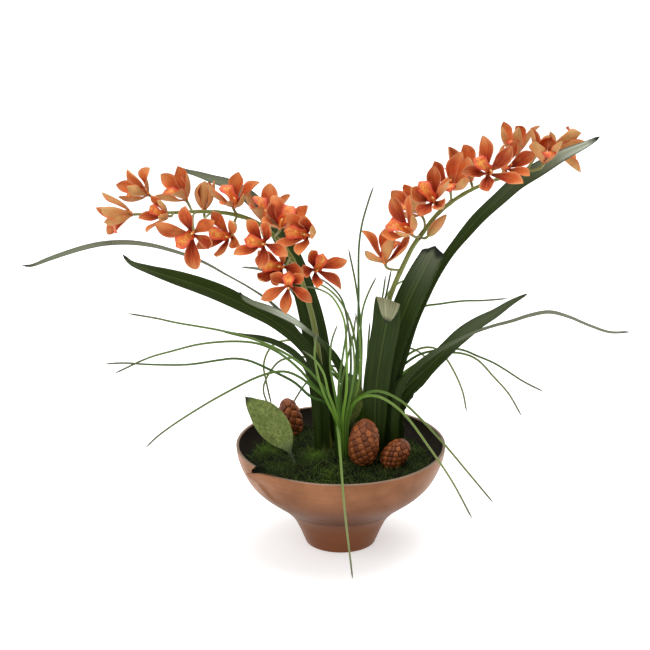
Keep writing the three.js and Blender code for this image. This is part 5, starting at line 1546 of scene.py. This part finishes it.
def leaving_share(points, target, behind=9):
    """The share of the stem where a stalk leaves it: the point nearest to the bloom, less 9 mm."""
    shares = np.linspace(0, 1, 201)
    path = follow(points, shares)
    nearest = shares[np.argmin(np.linalg.norm(path.centre - target, axis=1))]
    return min(max(nearest - behind / path.length, 0), 1)


def stalk_skins(points, end, heading):
    """A stalk and the bract at its foot."""
    share = leaving_share(points, end)
    start = follow(points, [share])
    reach = np.linalg.norm(start.centre[0] - end)
    first = start.centre[0] + start.tangent[0] * reach * 0.25
    second = end - heading * reach * 0.35
    t = np.linspace(0, 1, 16)
    centre, tangent = bezier(start.centre[0], first, second, end, t)
    radius = STALK_RADIUS + 0.35 * t**3 + 0.3 * (1 - ease(t / 0.15))
    stalk = tube(centre, tangent, radius, STALK_SIDES, t, face=(0.3, 0.9, 0.2), dry=0.25)
    s = np.linspace(0.02, min(0.9, BRACT_LENGTH / max(reach, 1)), 8)
    place_on, direction = bezier(start.centre[0], first, second, end, s)
    side, normal = ribbon_frame(direction, np.array([0, -0.4, 0]) - start.tangent[0])
    grow = s / s[-1]
    half = 1.9 * np.sqrt(np.clip(1 - grow**1.6, 0.01, 1))
    c = np.linspace(-1, 1, 7)
    rise = -0.5 * half[:, None] * c**2
    centre = place_on + normal * (1.5 + 0.9 * grow[:, None] ** 2)
    bract = blade(centre, side, normal, half, rise, np.full_like(rise, 0.35), grow, dry=0.9)
    return share, [stalk, bract]


def spike_skins(spike):
    """The stem, swollen a little at each stalk's foot, and all stalks."""
    root = np.array([*spike["root"], STAKE_TOP], float)
    points = np.vstack([root, seen(spike["route"])])
    ends = []
    for bloom in BLOOMS[spike["side"]]:
        origin, axes = bloom_frame(bloom)
        ends.append((origin - axes[2] * (HUB_HALF + CLEARANCE), axes[2]))
    if "bud" in spike:
        foot, tip = seen([spike["bud"]["at"], spike["bud"]["tip"]])
        ends.append((foot - unit(tip - foot) * CLEARANCE, unit(tip - foot)))
    skins = []
    leaving = []
    for end, heading in ends:
        share, made = stalk_skins(points, end, heading)
        leaving.append(share)
        skins += made
    shares = np.linspace(0, 1, 150)
    path = follow(points, shares)
    apart = (shares[:, None] - np.array(leaving)) * path.length
    radius = smooth(STEM_RADII, shares) + 0.3 * np.exp(-((apart / 2.2) ** 2)).max(axis=1)
    radius = radius * tip_taper(shares, path.length, 2, 0.05, past=1.002)
    stem = tube(path.centre, path.tangent, radius, STEM_SIDES, shares, dry=0.0)
    heights = [STAKE_BOTTOM + 2, STAKE_TOP + 0.5]
    stake = upright_tube(root, heights, [STEM_RADII[0]] * 2, STEM_SIDES, dry=0.0)
    return [stake, stem, *skins]


def stem_material():
    """Olive stem with lengthwise fibres and brown freckles, and dry tan bracts."""
    paint = new_paint("olive_stem", Roughness=0.5)
    along_fibres = paint.noise(paint.place((12, 3, 1), "UV"), 1.0, 3.0)
    freckles = paint.noise(paint.place(), 300.0, 4.0, 0.7)
    green = paint.mixed(along_fibres, (80, 96, 28), (132, 138, 56))
    wear_and_highlight = paint.over(green, (104, 82, 40), freckles, 0.56, 0.75, 0.5)
    dry = paint.mixed(freckles, (120, 84, 44), (170, 140, 90))
    return paint.finish(paint.mixed(paint.mark("dry"), wear_and_highlight, dry), freckles, 0.0002)


olive = stem_material()
for spike in SPIKES:
    make_piece("arching_" + spike["name"], spike_skins(spike), [olive], spike["name"])
print("flower stems:", len(SPIKES))

# %% [markdown]
# ## The bud
#
# One bloom is still closed: a pointed spindle whose three outer sepals lap over each other. A
# spindle with a seam every third of a turn shows that.

# %% Bud
def bud_skin(bud, length_rows=40, columns=48):
    """A spindle of radius 0.3 + 5·sin(π·t^0.8)^0.75·swell. With p the place between two seams,
    swell is 0.84 + 0.16·sin(π·p)^0.5, and the seams wind slowly round."""
    foot, tip = seen([bud["at"], bud["tip"]])
    along = unit(tip - foot)
    t = bunched(0.02, 0.985, length_rows)
    angle = 2 * pi * np.arange(columns) / columns
    p = (3 * (angle / (2 * pi) + 0.12 * t[:, None])) % 1
    swell = 0.84 + 0.16 * np.sin(pi * p) ** 0.5
    radius = 5 * (np.sin(pi * t**0.8) ** 0.75)[:, None] * swell + 0.3
    centre = foot + t[:, None] * (tip - foot)
    skin = tube(centre, np.tile(along, (length_rows, 1)), radius, columns, t)
    return skin._replace(marks=dict(seam=(1 - np.sin(pi * p) ** 0.3).ravel()))


def bud_material():
    """Orange-tan silk, olive at the foot and dark in the seams."""
    paint = new_paint("bud_silk", Roughness=0.55, Sheen_Weight=0.1)
    clouds = paint.noise(paint.place(), 160.0, 3.0)
    silk = paint.mixed(clouds, (206, 120, 68), (190, 150, 82))
    olive_foot = paint.over(silk, (140, 132, 56), paint.along(), 0.5, 0.0)
    seamed = paint.mixed(paint.mark("seam"), olive_foot, (126, 62, 30))
    return paint.finish(seamed, clouds, 0.0003)


bud = SPIKES[1]["bud"]
make_piece("closed_bud", [bud_skin(bud)], [bud_material()], "bud_right")
print("triangles made:", sum(triangle_counts))

# %% [markdown]
# ## Floor and light
#
# The photograph is a cut-out on white. A pale floor gives that, with a sky that is brighter
# behind the object than in front of it, and two large soft lights from the front left and from
# above round the shapes off.

# %% Floor and light
FLOOR_HALF = 9.0
FLOOR_LEVEL = -0.0003
SKY_FRONT = 0.3
SKY_BACK = 0.75


def pale_floor():
    """A square floor just under the foot."""
    mesh = bpy.data.meshes.new("floor")
    corners = [(-1, -1), (1, -1), (1, 1), (-1, 1)]
    points = [(x * FLOOR_HALF, y * FLOOR_HALF, FLOOR_LEVEL) for x, y in corners]
    mesh.from_pydata(points, [], [(0, 1, 2, 3)])
    paint = new_paint("pale_floor", Roughness=0.9, Emission_Color=(1, 1, 1, 1), Emission_Strength=0.45)
    grain = paint.noise(paint.place(), 3.0)
    paint.link(paint.mixed(grain, (250, 250, 250), (246, 246, 246)), "Base Color")
    mesh.materials.append(paint.owner)
    floor = bpy.data.objects.new("floor", mesh)
    bpy.context.collection.objects.link(floor)


def soft_light(name, location, size, power):
    """A square light that looks at the middle of the arrangement."""
    light = bpy.data.lights.new(name, "AREA")
    light.size = size
    light.energy = power
    lamp = bpy.data.objects.new(name, light)
    lamp.location = location
    aim = Vector((0, 0, 0.2)) - lamp.location
    lamp.rotation_euler = aim.to_track_quat("-Z", "Y").to_euler()
    bpy.context.collection.objects.link(lamp)


pale_floor()
soft_light("front_light", (-1.1, -1.9, 1.9), size=1.6, power=22)
soft_light("top_light", (0.3, 0.4, 2.4), size=2.0, power=36)
world = bpy.data.worlds.new("bright_room")
sky = Paint(world, "Background", Color=(1, 1, 1, 1))
toward_back = sky.axis("Y", sky.node("TexCoord", "Generated"))
sky.link(sky.between(toward_back, -0.9, 0.2, SKY_FRONT, SKY_BACK), "Strength")
bpy.context.scene.world = world
bpy.context.scene.view_settings.view_transform = "Standard"
